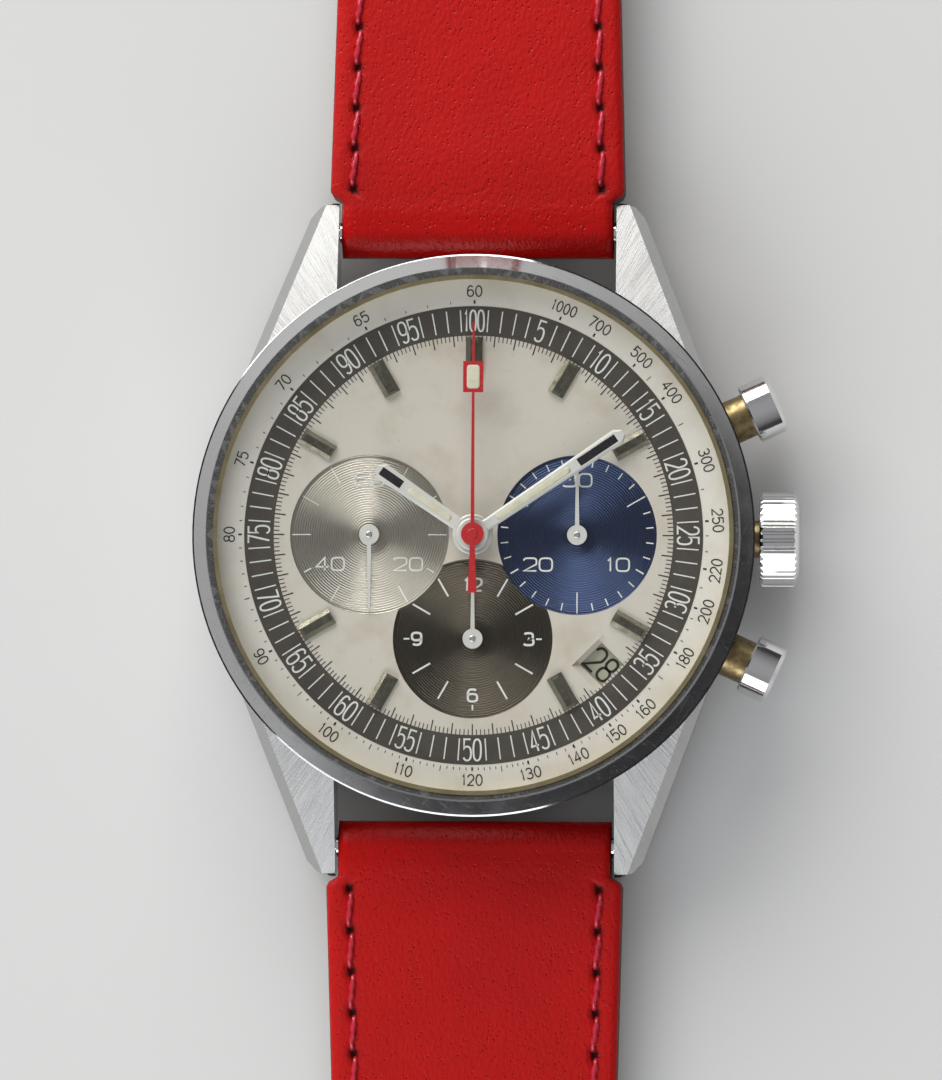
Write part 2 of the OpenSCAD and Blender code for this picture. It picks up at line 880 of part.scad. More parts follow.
module cock_plan(c) {
    at(balance_at)
        circle(1.5 + c);
    at(cock_at)
        circle(1.5 + c);
    at(balance_at)
        rotate(atan2(cock_at[1] - balance_at[1], cock_at[0] - balance_at[0]))
            translate([0, -1.2 - c])
                square([norm(cock_at - balance_at), 2.4 + 2 * c]);
}

// Bridge over barrel, train and counters, with pillars, the rotor post and two studs
module train_bridge() {
    color(BRASS)
        difference() {
            union() {
                difference() {
                    rod(bridge_r, z_bridge, z_bridge1);
                    translate([0, 0, z_bridge - 1])
                        linear_extrude(bridge_t + 2) {
                            cock_plan(0.3);
                            at(balance_at)
                                circle(balance_r + 0.6);
                        }
                }
                for (p = PILLARS)
                    at(p)
                        rod(1.1, z_bridge, z_plate);
                rod(post_r, z_rotor - 0.05, z_bridge1);
                at(reverse_at)
                    rod(stud_r, z_auto - 0.03, z_bridge1);
                at(middle_at)
                    rod(stud_r, z_bridge, level(2) - wheel_gap / 2);
            }
            rod(arbor_r + run_c, z_bridge1 - 0.4, z_plate);
            for (p = [fourth_at, minute_at, hour_at])
                at(p)
                    rod(arbor_r + run_c, z_bridge1 - 0.4, z_plate);
            for (p = [third_at, escape_at, fork_at])
                at(p)
                    rod(pivot_r + run_c, z_bridge1 - 0.4, z_plate);
            at(barrel_at)
                rod(barrel_arbor_r + run_c, z_bridge - 1, z_plate);
            for (p = PILLARS)
                at(p)
                    rod(0.4, z_bridge - 1, z_plate + 1);
        }
}

module balance_cock() {
    color(BRASS)
        difference() {
            union() {
                translate([0, 0, z_bridge])
                    linear_extrude(bridge_t)
                        cock_plan(0);
                at(cock_at)
                    rod(1.1, z_bridge, z_plate);
            }
            at(balance_at)
                rod(pivot_r + run_c, z_bridge1 - 0.4, z_plate);
            at(cock_at)
                rod(0.4, z_bridge - 1, z_plate + 1);
        }
}

module bridge_screws() {
    color([0.25, 0.3, 0.5])
        for (p = concat(PILLARS, [cock_at]))
            at(p)
                difference() {
                    union() {
                        rod(0.8, z_bridge - 0.25, z_bridge);
                        rod(0.4, z_bridge, z_plate + 0.7);
                    }
                    translate([-1, -0.1, z_bridge - 0.35])
                        cube([2, 0.2, 0.2]);
                }
}

// Closed drum with teeth on its upper edge
module barrel() {
    color(BRASS)
        at(barrel_at)
            difference() {
                union() {
                    rod(drum_r, level(3), level(5));
                    wheel(BARREL_T, m_barrel, level(5), wheel_t, barrel_a + 180);
                }
                rod(drum_r - drum_wall, level(3) + lid_t, level(5) + wheel_t - lid_t);
                rod(barrel_arbor_r + run_c, z_bridge, z_plate);
            }
}

module barrel_arbor() {
    color(STEEL)
        at(barrel_at) {
            rod(barrel_arbor_r, z_auto, z_plate + 0.4);
            rod(core_r, level(3) + lid_t + 0.04, level(5) + wheel_t - lid_t - 0.04);
        }
}

module mainspring() {
    color([0.5, 0.52, 0.55])
        at(barrel_at)
            translate([0, 0, level(3) + lid_t + 0.05])
                linear_extrude(level(5) + wheel_t - level(3) - 2 * lid_t - 0.1)
                    polygon(spiral(core_r + 0.15, drum_r - drum_wall - 0.08, 8, 0.12, 20));
}

module ratchet_wheel() {
    color(STEEL)
        at(barrel_at)
            difference() {
                wheel(RATCHET_T, m_auto, z_auto, auto_t, barrel_a + 180);
                rod(barrel_arbor_r, z_auto - 1, z_auto + 1);
            }
}

module reversing_wheel() {
    color(BRASS)
        at(reverse_at)
            difference() {
                wheel(REVERSE_T, m_auto, z_auto, auto_t, barrel_a, 1);
                rod(stud_r + run_c, z_auto - 1, z_auto + 1);
            }
}

// Half disc with a heavy rim and a pinion on its hub
module rotor() {
    color([0.76, 0.7, 0.55])
        difference() {
            union() {
                translate([0, 0, z_rotor])
                    linear_extrude(rotor_t) {
                        circle(2.4);
                        intersection() {
                            circle(rotor_r);
                            translate([-rotor_r, -rotor_r])
                                square([2 * rotor_r, rotor_r]);
                        }
                    }
                wheel(ROTOR_P, m_auto, z_rotor, z_auto + auto_t - z_rotor, barrel_a);
            }
            rod(post_r + run_c, z_rotor - 1, z_bridge + 1);
            translate([0, 0, z_rotor + rotor_t * 0.5])
                linear_extrude(rotor_t)
                    difference() {
                        circle(rotor_r - 2.6);
                        circle(2.4);
                    }
        }
}

module center_wheel() {
    color(BRASS)
        difference() {
            union() {
                wheel(CENTER_T, m_center, level(2), wheel_t, third_a);
                wheel(CENTER_P, m_barrel, level(5), wheel_t, barrel_a, 1);
                rod(tube_r, level(2) - wheel_gap / 2, hand_z(2) + hand_t);
            }
            rod(arbor_r + run_c, z_bridge, z_apex);
            windows(3.6, 1.1, 5, level(2), wheel_t);
        }
}

module third_wheel() {
    color(BRASS)
        at(third_at)
            difference() {
                union() {
                    wheel(THIRD_T, m_third, level(4), wheel_t, to_fourth_a);
                    wheel(THIRD_P, m_center, level(2) - 0.03, wheel_t + 0.06, third_a + 180, 1);
                    rod(pivot_r, z_bridge1 - 0.35, z_plate + 0.35);
                }
                windows(3.1, 0.9, 5, level(4), wheel_t);
            }
}

module fourth_wheel() {
    color(BRASS)
        at(fourth_at)
            difference() {
                union() {
                    wheel(FOURTH_T, m_fourth, level(3), wheel_t, escape_a);
                    wheel(FOURTH_P, m_third, level(4) - 0.03, wheel_t + 0.06, to_fourth_a + 180, 1);
                    rod(arbor_r, z_bridge1 - 0.35, hand_z(0) + hand_t);
                }
                windows(3.05, 0.8, 5, level(3), wheel_t);
            }
}

module escape_wheel() {
    color(STEEL)
        at(escape_at) {
            translate([0, 0, level(4)])
                linear_extrude(wheel_t)
                    polygon([for (i = [0 : ESCAPE_T - 1])
                        for (q = [[1.2, -0.3], [1.5, 0.1], [1.5, 0.2], [1.2, 0.15]])
                            spot(q[0], (i + q[1]) * 360 / ESCAPE_T)]);
            wheel(ESCAPE_P, m_fourth, level(3) - 0.03, wheel_t + 0.06, escape_a + 180, 1);
            rod(0.12, z_bridge1 - 0.35, z_plate + 0.35);
        }
}

// Lever with two pallet stones on one end and a fork on the other
module pallet_fork() {
    color(STEEL)
        at(fork_at)
            rotate(fork_a) {
                translate([0, 0, level(4)])
                    linear_extrude(wheel_t) {
                        circle(0.4);
                        translate([0, -0.14])
                            square([fork_l - 0.3, 0.28]);
                        for (s = [-1, 1]) {
                            translate([fork_l - 0.4, s * 0.24 - 0.08])
                                square([0.4, 0.16]);
                            translate([-0.15, s * 0.62 - 0.62])
                                square([0.3, 1.24]);
                            rotate(s * 8)
                                translate([-0.55, s * 1.18 - 0.1])
                                    square([0.7, 0.2]);
                        }
                        translate([fork_l - 0.45, -0.32])
                            square([0.2, 0.64]);
                    }
                rod(pivot_r, z_bridge1 - 0.35, z_plate + 0.35);
            }
}

module balance_wheel() {
    color(BRASS)
        at(balance_at) {
            difference() {
                rod(balance_r, level(2), level(2) + wheel_t);
                windows(balance_r - 0.4, 0.6, 3, level(2), wheel_t);
            }
            rod(0.5, level(4), level(4) + wheel_t);
            rod(pivot_r, z_bridge1 - 0.35, z_plate + 0.35);
        }
}

module hairspring() {
    color([0.3, 0.4, 0.6])
        at(balance_at)
            translate([0, 0, level(3)])
                linear_extrude(0.14)
                    polygon(spiral(0.3, 1.9, 7, 0.06, 20));
}

module cannon_pinion() {
    color(STEEL)
        difference() {
            union() {
                rod(cannon_r, z_plate1 + motion_gap / 2, hand_z(2) + hand_t);
                wheel(CANNON_T, m_cannon, z_plate1 + motion_gap, motion_t, motion_a);
            }
            rod(tube_r, z_plate, z_apex);
        }
}

module minute_wheel() {
    color(BRASS)
        at(motion_at)
            difference() {
                union() {
                    wheel(MINUTE_T, m_cannon, z_plate1 + motion_gap, motion_t, motion_a + 180, 1);
                    wheel(MINUTE_P, m_hour, z_plate1 + motion_gap, 2 * motion_t + motion_gap,
                        motion_a + 180, 1);
                }
                rod(stud_r + run_c, z_plate, z_dial);
            }
}

module hour_wheel() {
    color(BRASS)
        difference() {
            union() {
                wheel(HOUR_T, m_hour, z_plate1 + 2 * motion_gap + motion_t, motion_t, motion_a);
                rod(pipe_r, z_plate1 + 2 * motion_gap + motion_t, hand_z(1) + hand_t);
            }
            rod(cannon_r + run_c, z_plate, z_apex);
        }
}

module chrono_wheel() {
    color(BRASS) {
        wheel(60, 0.062, level(1), wheel_t, 0);
        wheel(CHRONO_P, m_chrono, level(0), wheel_t + 0.03, 0, 1);
        rod(arbor_r, z_bridge1 - 0.35, hand_z(3) + hand_t);
        rod(0.5, level(0), level(1) + wheel_t);
    }
}

module chrono_intermediate_wheel() {
    color(BRASS)
        at(middle_at)
            difference() {
                union() {
                    wheel(MIDDLE_T, m_chrono, level(0), wheel_t, 180);
                    wheel(MIDDLE_P, m_counter, level(0), 2 * wheel_t + wheel_gap, 0, 1);
                }
                rod(stud_r + run_c, z_bridge, z_plate);
            }
}

module counter_wheel(n, m, a) {
    difference() {
        union() {
            wheel(n, m, level(1), wheel_t, a);
            rod(arbor_r, z_bridge1 - 0.35, hand_z(0) + hand_t);
            rod(0.55, level(1), level(1) + wheel_t + 0.1);
        }
        windows(n * m / 2 - 0.5, 0.8, 4, level(1), wheel_t);
    }
}

module minute_counter_wheel() {
    color(BRASS)
        at(minute_at)
            counter_wheel(COUNTER_T, m_counter, 180);
}

module hour_counter_wheel() {
    color(BRASS)
        at(hour_at)
            counter_wheel(COUNTER_T, 0.1, 90);
}

// Side view of a strap half, s along the strap from its bar
module buckle_side() {
    polygon(concat(bow([0, bar_z], roll_r, 270, 90), [[3, bar_z + roll_r - 0.05], [10, bar_z + roll_r - 0.35],
        [20, bar_z + roll_r - 0.7], [32, strap_low + strap_t + 0.45],
        [taper_l, strap_low + strap_t]], bow([buckle_half_l, pin_z], strap_t / 2, 90, -90),
        [[8, strap_low], [3, bar_z - roll_r + 0.02]]));
}

module tail_side() {
    polygon(concat(bow([0, bar_z], roll_r, 270, 90), [[3, bar_z + roll_r - 0.05], [8, bar_z + roll_r - 0.5],
        [16, strap_t + 1.1], [28, strap_t + 0.55], [taper_l, strap_t],
        [tail_half_l + 1, strap_t - 0.2], [tail_half_l + 1, 0], [15, 0],
        [9, 0.25], [4, bar_z - roll_r - 0.2]]));
}

// Half widths from the roll between the lugs to the buckle or tip
function strap_edge(x) = [[-roll_r - 1, x * strap_in_w / 2], [notch_s, x * strap_in_w / 2],
    [notch_s, x * strap_w / 2], [taper_l, x * buckle_w / 2]];

module buckle_plan() {
    polygon(concat(strap_edge(-1), [[buckle_half_l + strap_t, -buckle_w / 2],
        [buckle_half_l + strap_t, buckle_w / 2]], [for (i = [3 : -1 : 0]) strap_edge(1)[i]]));
}

module tail_plan() {
    tip = [for (i = [-10 : 10]) let (u = i / 10)
        [tail_half_l - tip_l * (1 - pow(1 - u * u, 0.62)), buckle_w / 2 * u]];
    polygon(concat(strap_edge(-1), tip, [for (i = [3 : -1 : 0]) strap_edge(1)[i]]));
}

// Crosses a side view with a plan, both given along +X, and lays the piece along +Y
module strap_body() {
    intersection() {
        translate([-lug_w, 0, 0])
            rotate([90, 0, 90])
                linear_extrude(2 * lug_w)
                    children(0);
        rotate(90)
            linear_extrude(20)
                children(1);
    }
}

module across(r, w, y, z) {
    translate([-w / 2, y, z])
        rotate([0, 90, 0])
            cylinder(r = r, h = w);
}

module strap_buckle_half() {
    color(RED)
        translate([0, bar_y, 0])
            difference() {
                strap_body() {
                    buckle_side();
                    buckle_plan();
                }
                across(roll_bore, 2 * lug_w, 0, bar_z);
                across(pin_r + 0.06, 2 * lug_w, buckle_half_l, pin_z);
                translate([-slot_w / 2, buckle_half_l - 3.5, -1])
                    cube([slot_w, 10, 10]);
            }
}

module strap_tail_half() {
    color(RED)
        rotate(180)
            translate([0, bar_y, 0])
                difference() {
                    strap_body() {
                        tail_side();
                        tail_plan();
                    }
                    across(roll_bore, 2 * lug_w, 0, bar_z);
                    for (i = [0 : holes_n - 1])
                        translate([0, tail_half_l - 26 - i * hole_pitch, -1])
                            cylinder(r = hole_r, h = 10);
                }
}

module keeper(y, inner_w, low, top) {
    translate([0, y - keeper_l / 2, 0])
        rotate([90, 0, 180])
            linear_extrude(keeper_l)
                difference() {
                    translate([-inner_w / 2 - keeper_t, low - keeper_t])
                        square([inner_w + 2 * keeper_t, top - low + 2 * keeper_t]);
                    translate([-inner_w / 2, low])
                        square([inner_w, top - low]);
                }
}

module fixed_keeper() {
    color(RED)
        keeper(bar_y + fixed_s, buckle_w, strap_low, keeper_top);
}

module free_keeper() {
    color(RED)
        keeper(bar_y + free_s, buckle_w + 0.4, strap_low - 0.1, keeper_top);
}

// Seen from above, a frame with a straight front bar and two arms that hold the pin
module buckle_frame() {
    color(STEEL)
        difference() {
            union() {
                for (s = [-1, 1])
                    across_arm(s);
                translate([-arm_x - arm_w, front_y, pin_z - buckle_t / 2])
                    cube([2 * arm_x + 2 * arm_w, front_w, buckle_t]);
            }
            across(pin_r, 4 * buckle_w, pin_y, pin_z);
            for (s = [-1, 1])
                translate([s * (arm_x + arm_w), front_y + front_w, pin_z - buckle_t])
                    rotate(45)
                        cube([1.6, 1.6, 4 * buckle_t], center = true);
        }
}

module across_arm(s) {
    translate([s * (arm_x + arm_w / 2) - arm_w / 2, pin_y, pin_z - buckle_t / 2])
        cube([arm_w, front_y - pin_y + 0.1, buckle_t]);
    translate([s * (arm_x + arm_w / 2), 0, 0])
        across(buckle_t / 2, arm_w, pin_y, pin_z);
}

module buckle_pin() {
    color(STEEL)
        across(pin_r, 2 * (arm_x + arm_w), pin_y, pin_z);
}

module buckle_tongue() {
    top = pin_z + buckle_t / 2 + 0.08;
    color(STEEL)
        difference() {
            union() {
                across(1.1, tongue_w, pin_y, pin_z);
                translate([-tongue_w / 2, pin_y, 0])
                    rotate([90, 0, 90])
                        linear_extrude(tongue_w)
                            polygon([[0, pin_z - 0.1], [0.6, pin_z - 0.1], [3, top - 0.25],
                                [front_y - pin_y - 0.4, top], [front_y - pin_y + front_w, top],
                                [front_y - pin_y + front_w, top + 0.6], [3, top + 0.75],
                                [0, pin_z + 1.1]]);
            }
            across(pin_r + 0.06, 2 * tongue_w, pin_y, pin_z);
        }
}

mid_case();
bezel();
crystal();
tension_ring();
case_back();
case_back_gasket();
case_tubes();
spring_bars();
crown();
winding_stem();
crown_gasket();
winding_pinion();
start_pusher();
reset_pusher();
start_pusher_spring();
reset_pusher_spring();
dial();
seconds_subdial();
minutes_subdial();
hours_subdial();
hour_markers();
date_disc();
hour_hand();
minute_hand();
chrono_seconds_hand();
running_seconds_hand();
minute_counter_hand();
hour_counter_hand();
movement_ring();
main_plate();
train_bridge();
balance_cock();
bridge_screws();
barrel();
barrel_arbor();
mainspring();
ratchet_wheel();
reversing_wheel();
rotor();
center_wheel();
third_wheel();
fourth_wheel();
escape_wheel();
pallet_fork();
balance_wheel();
hairspring();
cannon_pinion();
minute_wheel();
hour_wheel();
chrono_wheel();
chrono_intermediate_wheel();
minute_counter_wheel();
hour_counter_wheel();
strap_buckle_half();
strap_tail_half();
buckle_frame();
buckle_tongue();
buckle_pin();
fixed_keeper();
free_keeper();
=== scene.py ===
# %% [markdown]
# # A chronograph wristwatch
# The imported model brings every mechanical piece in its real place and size. This lesson
# dresses it: paint, print, brushed and polished steel, a plastic crystal and a leather
# strap. Pieces that have only a plain body in the model, such as the strap, are replaced
# here by fuller shapes that are worked out with numpy. Lengths below are millimetres, and
# `piece` turns them into metres.

# %% Load the frame
import math

import bmesh
import bpy
import numpy as np
from mathutils import Matrix, Vector


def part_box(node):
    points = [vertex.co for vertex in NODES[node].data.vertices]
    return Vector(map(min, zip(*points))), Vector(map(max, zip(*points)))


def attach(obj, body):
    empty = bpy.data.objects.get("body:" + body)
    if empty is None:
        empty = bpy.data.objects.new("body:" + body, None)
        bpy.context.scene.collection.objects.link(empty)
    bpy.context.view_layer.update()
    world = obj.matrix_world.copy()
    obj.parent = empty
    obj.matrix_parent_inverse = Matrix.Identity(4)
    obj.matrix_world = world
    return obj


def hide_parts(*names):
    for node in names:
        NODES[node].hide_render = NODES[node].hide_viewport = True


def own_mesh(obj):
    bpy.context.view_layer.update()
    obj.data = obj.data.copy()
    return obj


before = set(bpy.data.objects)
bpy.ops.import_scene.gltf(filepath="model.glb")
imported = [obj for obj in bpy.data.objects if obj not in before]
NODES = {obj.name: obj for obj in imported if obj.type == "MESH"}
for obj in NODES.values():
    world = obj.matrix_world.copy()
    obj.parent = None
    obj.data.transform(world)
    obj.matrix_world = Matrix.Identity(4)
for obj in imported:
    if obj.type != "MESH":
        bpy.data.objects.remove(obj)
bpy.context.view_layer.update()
MM = 0.001

# %% [markdown]
# ## Helpers for shapes
# Almost every new piece is a grid: one parameter runs along it and one around it. The
# first helpers number the corners of such a grid's cells and cap its ends. `piece` puts
# points and faces into a mesh, gives it a material and lets it ride on a body of the watch.

# %% Grids and pieces
def cells(rows, columns, close_rows=False, close_columns=False):
    """Corner numbers of a grid's cells: cell (i, j) joins rows i, i+1 and columns j, j+1."""
    i = np.arange(rows if close_rows else rows - 1)
    j = np.arange(columns if close_columns else columns - 1)
    i, j = [a.ravel() for a in np.meshgrid(i, j, indexing="ij")]
    k, m = (i + 1) % rows, (j + 1) % columns
    return np.stack([i * columns + j, k * columns + j, k * columns + m, i * columns + m], 1)


def tube(rows, around):
    """Faces of a grid that is closed round its columns, and a cap on its first and last row."""
    caps = np.array([np.arange(around)[::-1], np.arange(around) + (rows - 1) * around])
    return [cells(rows, around, close_columns=True), caps]


def circle(n):
    """n even angles of a full turn, in radians."""
    return np.linspace(0, 2 * np.pi, n, endpoint=False)


def new_object(name, data):
    """Object at the origin, linked to the scene."""
    obj = bpy.data.objects.new(name, data)
    bpy.context.scene.collection.objects.link(obj)
    return obj


def piece(name, points, faces, body, slot, *materials, smooth=True, index=None, replaces=(),
          values=None):
    """Closed mesh from points (n, 3) in millimetres, turned outwards and riding on a body."""
    mesh = bpy.data.meshes.new(name)
    mesh.from_pydata((np.asarray(points, float).reshape(-1, 3) * MM).tolist(), [],
                     [f for part in faces for f in np.asarray(part).tolist()])
    mesh.polygons.foreach_set("use_smooth", np.full(len(mesh.polygons), smooth))
    for material in materials:
        mesh.materials.append(material)
    if index is not None:
        mesh.polygons.foreach_set("material_index", np.asarray(index, np.int32))
    for title, numbers in (values or {}).items():
        numbers = np.asarray(numbers, np.float32).ravel()
        mesh.attributes.new(title, "FLOAT", "POINT").data.foreach_set("value", numbers)
    shell = bmesh.new()
    shell.from_mesh(mesh)
    bmesh.ops.remove_doubles(shell, verts=shell.verts, dist=1e-8)
    bmesh.ops.recalc_face_normals(shell, faces=shell.faces)
    open_edges = sum(not e.is_manifold for e in shell.edges)
    shell.to_mesh(mesh)
    shell.free()
    obj = new_object(name, mesh)
    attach(obj, body)
    if replaces:
        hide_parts(*replaces)
    print(f"{name}: {len(mesh.vertices)} points, {len(mesh.polygons)} faces, "
          f"{open_edges} open edges")
    return obj


def node_box(node):
    """Lowest and highest corner of a node of the model, in millimetres."""
    return [np.array(c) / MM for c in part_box(node)]


def top_of(node):
    """Height of a node's highest point, in millimetres."""
    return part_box(node)[1].z / MM


def turn(a):
    """Unit vector at clock angle a, in degrees clockwise from twelve."""
    a = np.radians(a)
    return np.stack([np.sin(a), np.cos(a)], -1)


def unit(vectors):
    """Vectors (n, k) scaled to length 1."""
    return vectors / np.maximum(np.linalg.norm(vectors, axis=1, keepdims=True), 1e-9)


def smooth_step(x, a, b):
    """0 below a, 1 above b, and an even S between them."""
    t = np.clip((x - a) / (b - a), 0, 1)
    return t * t * (3 - 2 * t)

# %% [markdown]
# ## Finishes
# A finish is a small tree of shader nodes. Short helpers keep the trees readable: one adds
# a node and fills its sockets, one blends two colours, and one turns a value into a mask.
# Patterns read Object coordinates, so they sit still on every piece.

# %% Node helpers
def put(tree, socket, value):
    """Links an output to a socket, or sets the socket to a plain value."""
    if isinstance(value, bpy.types.NodeSocket):
        tree.links.new(value, socket)
    elif isinstance(value, tuple) and len(value) == 3 and socket.type == "RGBA":
        socket.default_value = (*value, 1)
    else:
        socket.default_value = value


def feed(tree, node, **sockets):
    """Puts a value or an output into each named input of a node."""
    for name, value in sockets.items():
        put(tree, node.inputs[name.replace("_", " ")], value)


def add(tree, kind, **sockets):
    """Adds a shader node; names that aren't inputs are settings of the node itself."""
    node = tree.nodes.new("ShaderNode" + kind)
    for name, value in sockets.items():
        if name.replace("_", " ") in node.inputs:
            feed(tree, node, **{name: value})
        else:
            setattr(node, name, value)
    return node


def place(tree):
    """Object coordinates."""
    return add(tree, "TexCoord").outputs["Object"]


def attribute(tree, name):
    """Number that is stored at each point of a mesh."""
    return add(tree, "Attribute", attribute_name=name).outputs["Fac"]


def mask(tree, value, low, high, to_low=0.0, to_high=1.0):
    """Maps a value from low..high to to_low..to_high, held at both ends."""
    return add(tree, "MapRange", Value=value, From_Min=low, From_Max=high,
               To_Min=to_low, To_Max=to_high).outputs["Result"]


def mix_value(tree, factor, a, b):
    """A number that goes from a to b with the factor."""
    return mask(tree, factor, 0.0, 1.0, a, b)


def blend_color(tree, factor, a, b):
    """Colour a where the factor is 0 and colour b where it is 1."""
    node = add(tree, "Mix", data_type="RGBA")
    for socket, value in zip((node.inputs[0], node.inputs[6], node.inputs[7]), (factor, a, b)):
        put(tree, socket, value)
    return node.outputs[2]


def calc(tree, operation, first, *others):
    """One arithmetic step after another over two or more values."""
    for other in others or (0.0,):
        node = add(tree, "Math", operation=operation)
        put(tree, node.inputs[0], first)
        put(tree, node.inputs[1], other)
        first = node.outputs[0]
    return first


def noise(tree, where, scale, detail=2.0, roughness=0.5):
    """Cloudy noise value around 0.5 at a number of cells per metre."""
    return add(tree, "TexNoise", Vector=where, Scale=scale, Detail=detail,
               Roughness=roughness).outputs["Fac"]


def stretched(tree, where, scale, rotation=(0, 0, 0)):
    """Coordinates that are turned first and then stretched, for lines along any direction."""
    turned = add(tree, "Mapping", Vector=where, Rotation=rotation).outputs["Vector"]
    return add(tree, "Mapping", Vector=turned, Scale=scale).outputs["Vector"]


def from_middle(tree, where):
    """Distance from the dial's axis, and the unit vector that points away from it."""
    flat = stretched(tree, where, (1.0, 1.0, 0.0))
    return (add(tree, "VectorMath", operation="LENGTH", Vector=flat).outputs["Value"],
            add(tree, "VectorMath", operation="NORMALIZE", Vector=flat).outputs["Vector"])


# %% [markdown]
# Effects that several finishes share are node groups. `hairlines` gives the fine straight
# scratches of worn metal and of the plastic crystal, `cloudy` the slow changes of handled
# surfaces, and `leather_grain` the wrinkles and pores of calf skin.

# %% Shared groups
def group(name, inputs, outputs):
    """Empty node group with number sockets; gives its tree, its inputs and its output node."""
    tree = bpy.data.node_groups.new(name, "ShaderNodeTree")
    for title, value in inputs.items():
        socket = tree.interface.new_socket(title, in_out="INPUT", socket_type="NodeSocketFloat")
        socket.default_value = value
    for title in outputs:
        tree.interface.new_socket(title, in_out="OUTPUT", socket_type="NodeSocketFloat")
    return tree, tree.nodes.new("NodeGroupInput").outputs, tree.nodes.new("NodeGroupOutput")


def make_hairlines():
    """Three crossed sets of thin lines: noise drawn out along a direction, cut at a high level."""
    tree, given, out = group("hairlines", {"Cells": 4000.0, "Sparse": 0.66}, ["Lines"])
    where = place(tree)
    sets = []
    for turned in (0.5, -0.9, 2.1):
        along = stretched(tree, where, (1.0, 0.016, 0.3), (0, 0, turned))
        line = noise(tree, along, given["Cells"], 1.0)
        sets.append(mask(tree, line, given["Sparse"], calc(tree, "ADD", given["Sparse"], 0.05)))
    feed(tree, out, Lines=calc(tree, "MAXIMUM", *sets))
    return tree


def make_cloudy():
    """Slow noise mapped from 0 to 1, for smudges, patina and uneven colour."""
    tree, given, out = group("cloudy", {"Cells": 300.0, "Low": 0.35, "High": 0.7}, ["Cloud"])
    slow = noise(tree, place(tree), given["Cells"], 4.0, 0.6)
    feed(tree, out, Cloud=mask(tree, slow, given["Low"], given["High"]))
    return tree


def make_leather_grain():
    """Pebbles from a smooth Voronoi pattern with fine noise, and pits drawn out along the hide."""
    tree, given, out = group("leather_grain", {"Cells": 2200.0}, ["Height", "Pores"])
    where = place(tree)
    long = stretched(tree, where, (1.0, 0.62, 1.0))
    skin = add(tree, "TexVoronoi", feature="SMOOTH_F1", Vector=long, Scale=given["Cells"])
    pebble = mask(tree, skin.outputs["Distance"], 0.1, 0.75, 1.0, 0.0)
    fine = noise(tree, where, 11000.0, 3.0, 0.6)
    pit = add(tree, "TexVoronoi", feature="F1", Vector=long,
              Scale=calc(tree, "MULTIPLY", given["Cells"], 0.8))
    round_pit = mask(tree, pit.outputs["Distance"], 0.12, 0.30, 1.0, 0.0)
    patchy = mask(tree, noise(tree, where, 900.0, 2.0), 0.30, 0.50)
    feed(tree, out, Pores=calc(tree, "MULTIPLY", patchy, round_pit),
         Height=calc(tree, "ADD", calc(tree, "MULTIPLY", pebble, 0.55),
                     calc(tree, "MULTIPLY", fine, 0.45)))
    return tree


HAIRLINES, CLOUDY, LEATHER_GRAIN = make_hairlines(), make_cloudy(), make_leather_grain()
print("groups:", [g.name for g in bpy.data.node_groups])


# %% A finish starts from a Principled shader
def finish(name, **plain):
    """New material with a Principled shader; plain values are set on the shader's sockets."""
    m = bpy.data.materials.new(name)
    m.use_nodes = True
    tree = m.node_tree
    shader = tree.nodes["Principled BSDF"]
    feed(tree, shader, **plain)
    return m, tree, shader


def use(tree, shared, **values):
    """Places a shared group in a material with its own values."""
    node = tree.nodes.new("ShaderNodeGroup")
    node.node_tree = shared
    feed(tree, node, **values)
    return node.outputs


def cloudy(tree, **values):
    """Slow cloud from 0 to 1."""
    return use(tree, CLOUDY, **values)["Cloud"]


def hairlines(tree, **values):
    """Thin lines: 1 on a line and 0 beside it."""
    return use(tree, HAIRLINES, **values)["Lines"]


def bump(tree, shader, height, strength, distance):
    """Feeds a height, whose unit is the distance in metres, into the shader's normal."""
    node = add(tree, "Bump", Strength=strength, Distance=distance, Height=height)
    feed(tree, shader, Normal=node.outputs["Normal"])


def darker(color, share):
    """A colour scaled towards black."""
    return tuple(c * share for c in color)


# %% [markdown]
# ## Stage, light and camera
# The photograph looks almost straight down from about 40 cm with a long lens, and leans a
# few degrees towards six o'clock. The watch lies on a plain pale table. A wide soft light
# stands above twelve o'clock, to the left, and a weaker one beyond six o'clock: the grooves
# of the small dials then light up in two opposite fans. The sky is bright overhead and
# dark at the horizon, which gives a polished bezel its bright edges. Its dark look comes from
# that horizon and from painted shade: its steel colour is darker than the other polished steel.

# %% Table
table_paint, tree, shader = finish("table_paint", Roughness=0.75)
cloud = cloudy(tree, Cells=9.0, Low=0.3, High=0.7)
feed(tree, shader, Base_Color=blend_color(tree, cloud, (0.72, 0.72, 0.715), (0.75, 0.75, 0.745)))
TABLE_HALF, TABLE_Z = 0.9, -2e-5
table_mesh = bpy.data.meshes.new("table")
table_mesh.from_pydata([(x * TABLE_HALF, y * TABLE_HALF, TABLE_Z)
                        for x, y in ((-1, -1), (1, -1), (1, 1), (-1, 1))], [], [(0, 1, 2, 3)])
table_mesh.materials.append(table_paint)
new_object("table", table_mesh)

# %% Lights
def soft_light(name, place, size, power, color):
    """Rectangular light at a place in metres, turned to face the watch."""
    lamp = bpy.data.lights.new(name, "AREA")
    lamp.shape, lamp.size, lamp.size_y = "RECTANGLE", *size
    lamp.energy, lamp.color = power, color
    obj = new_object(name, lamp)
    obj.location = place
    obj.rotation_euler = (-Vector(place)).to_track_quat("-Z", "Y").to_euler()


soft_light("key", (-0.36, 0.85, 0.41), (1.30, 0.70), 15.4, (1.0, 0.985, 0.96))
soft_light("fill", (-0.26, -0.83, 0.47), (1.20, 0.70), 7.4, (0.96, 0.98, 1.0))

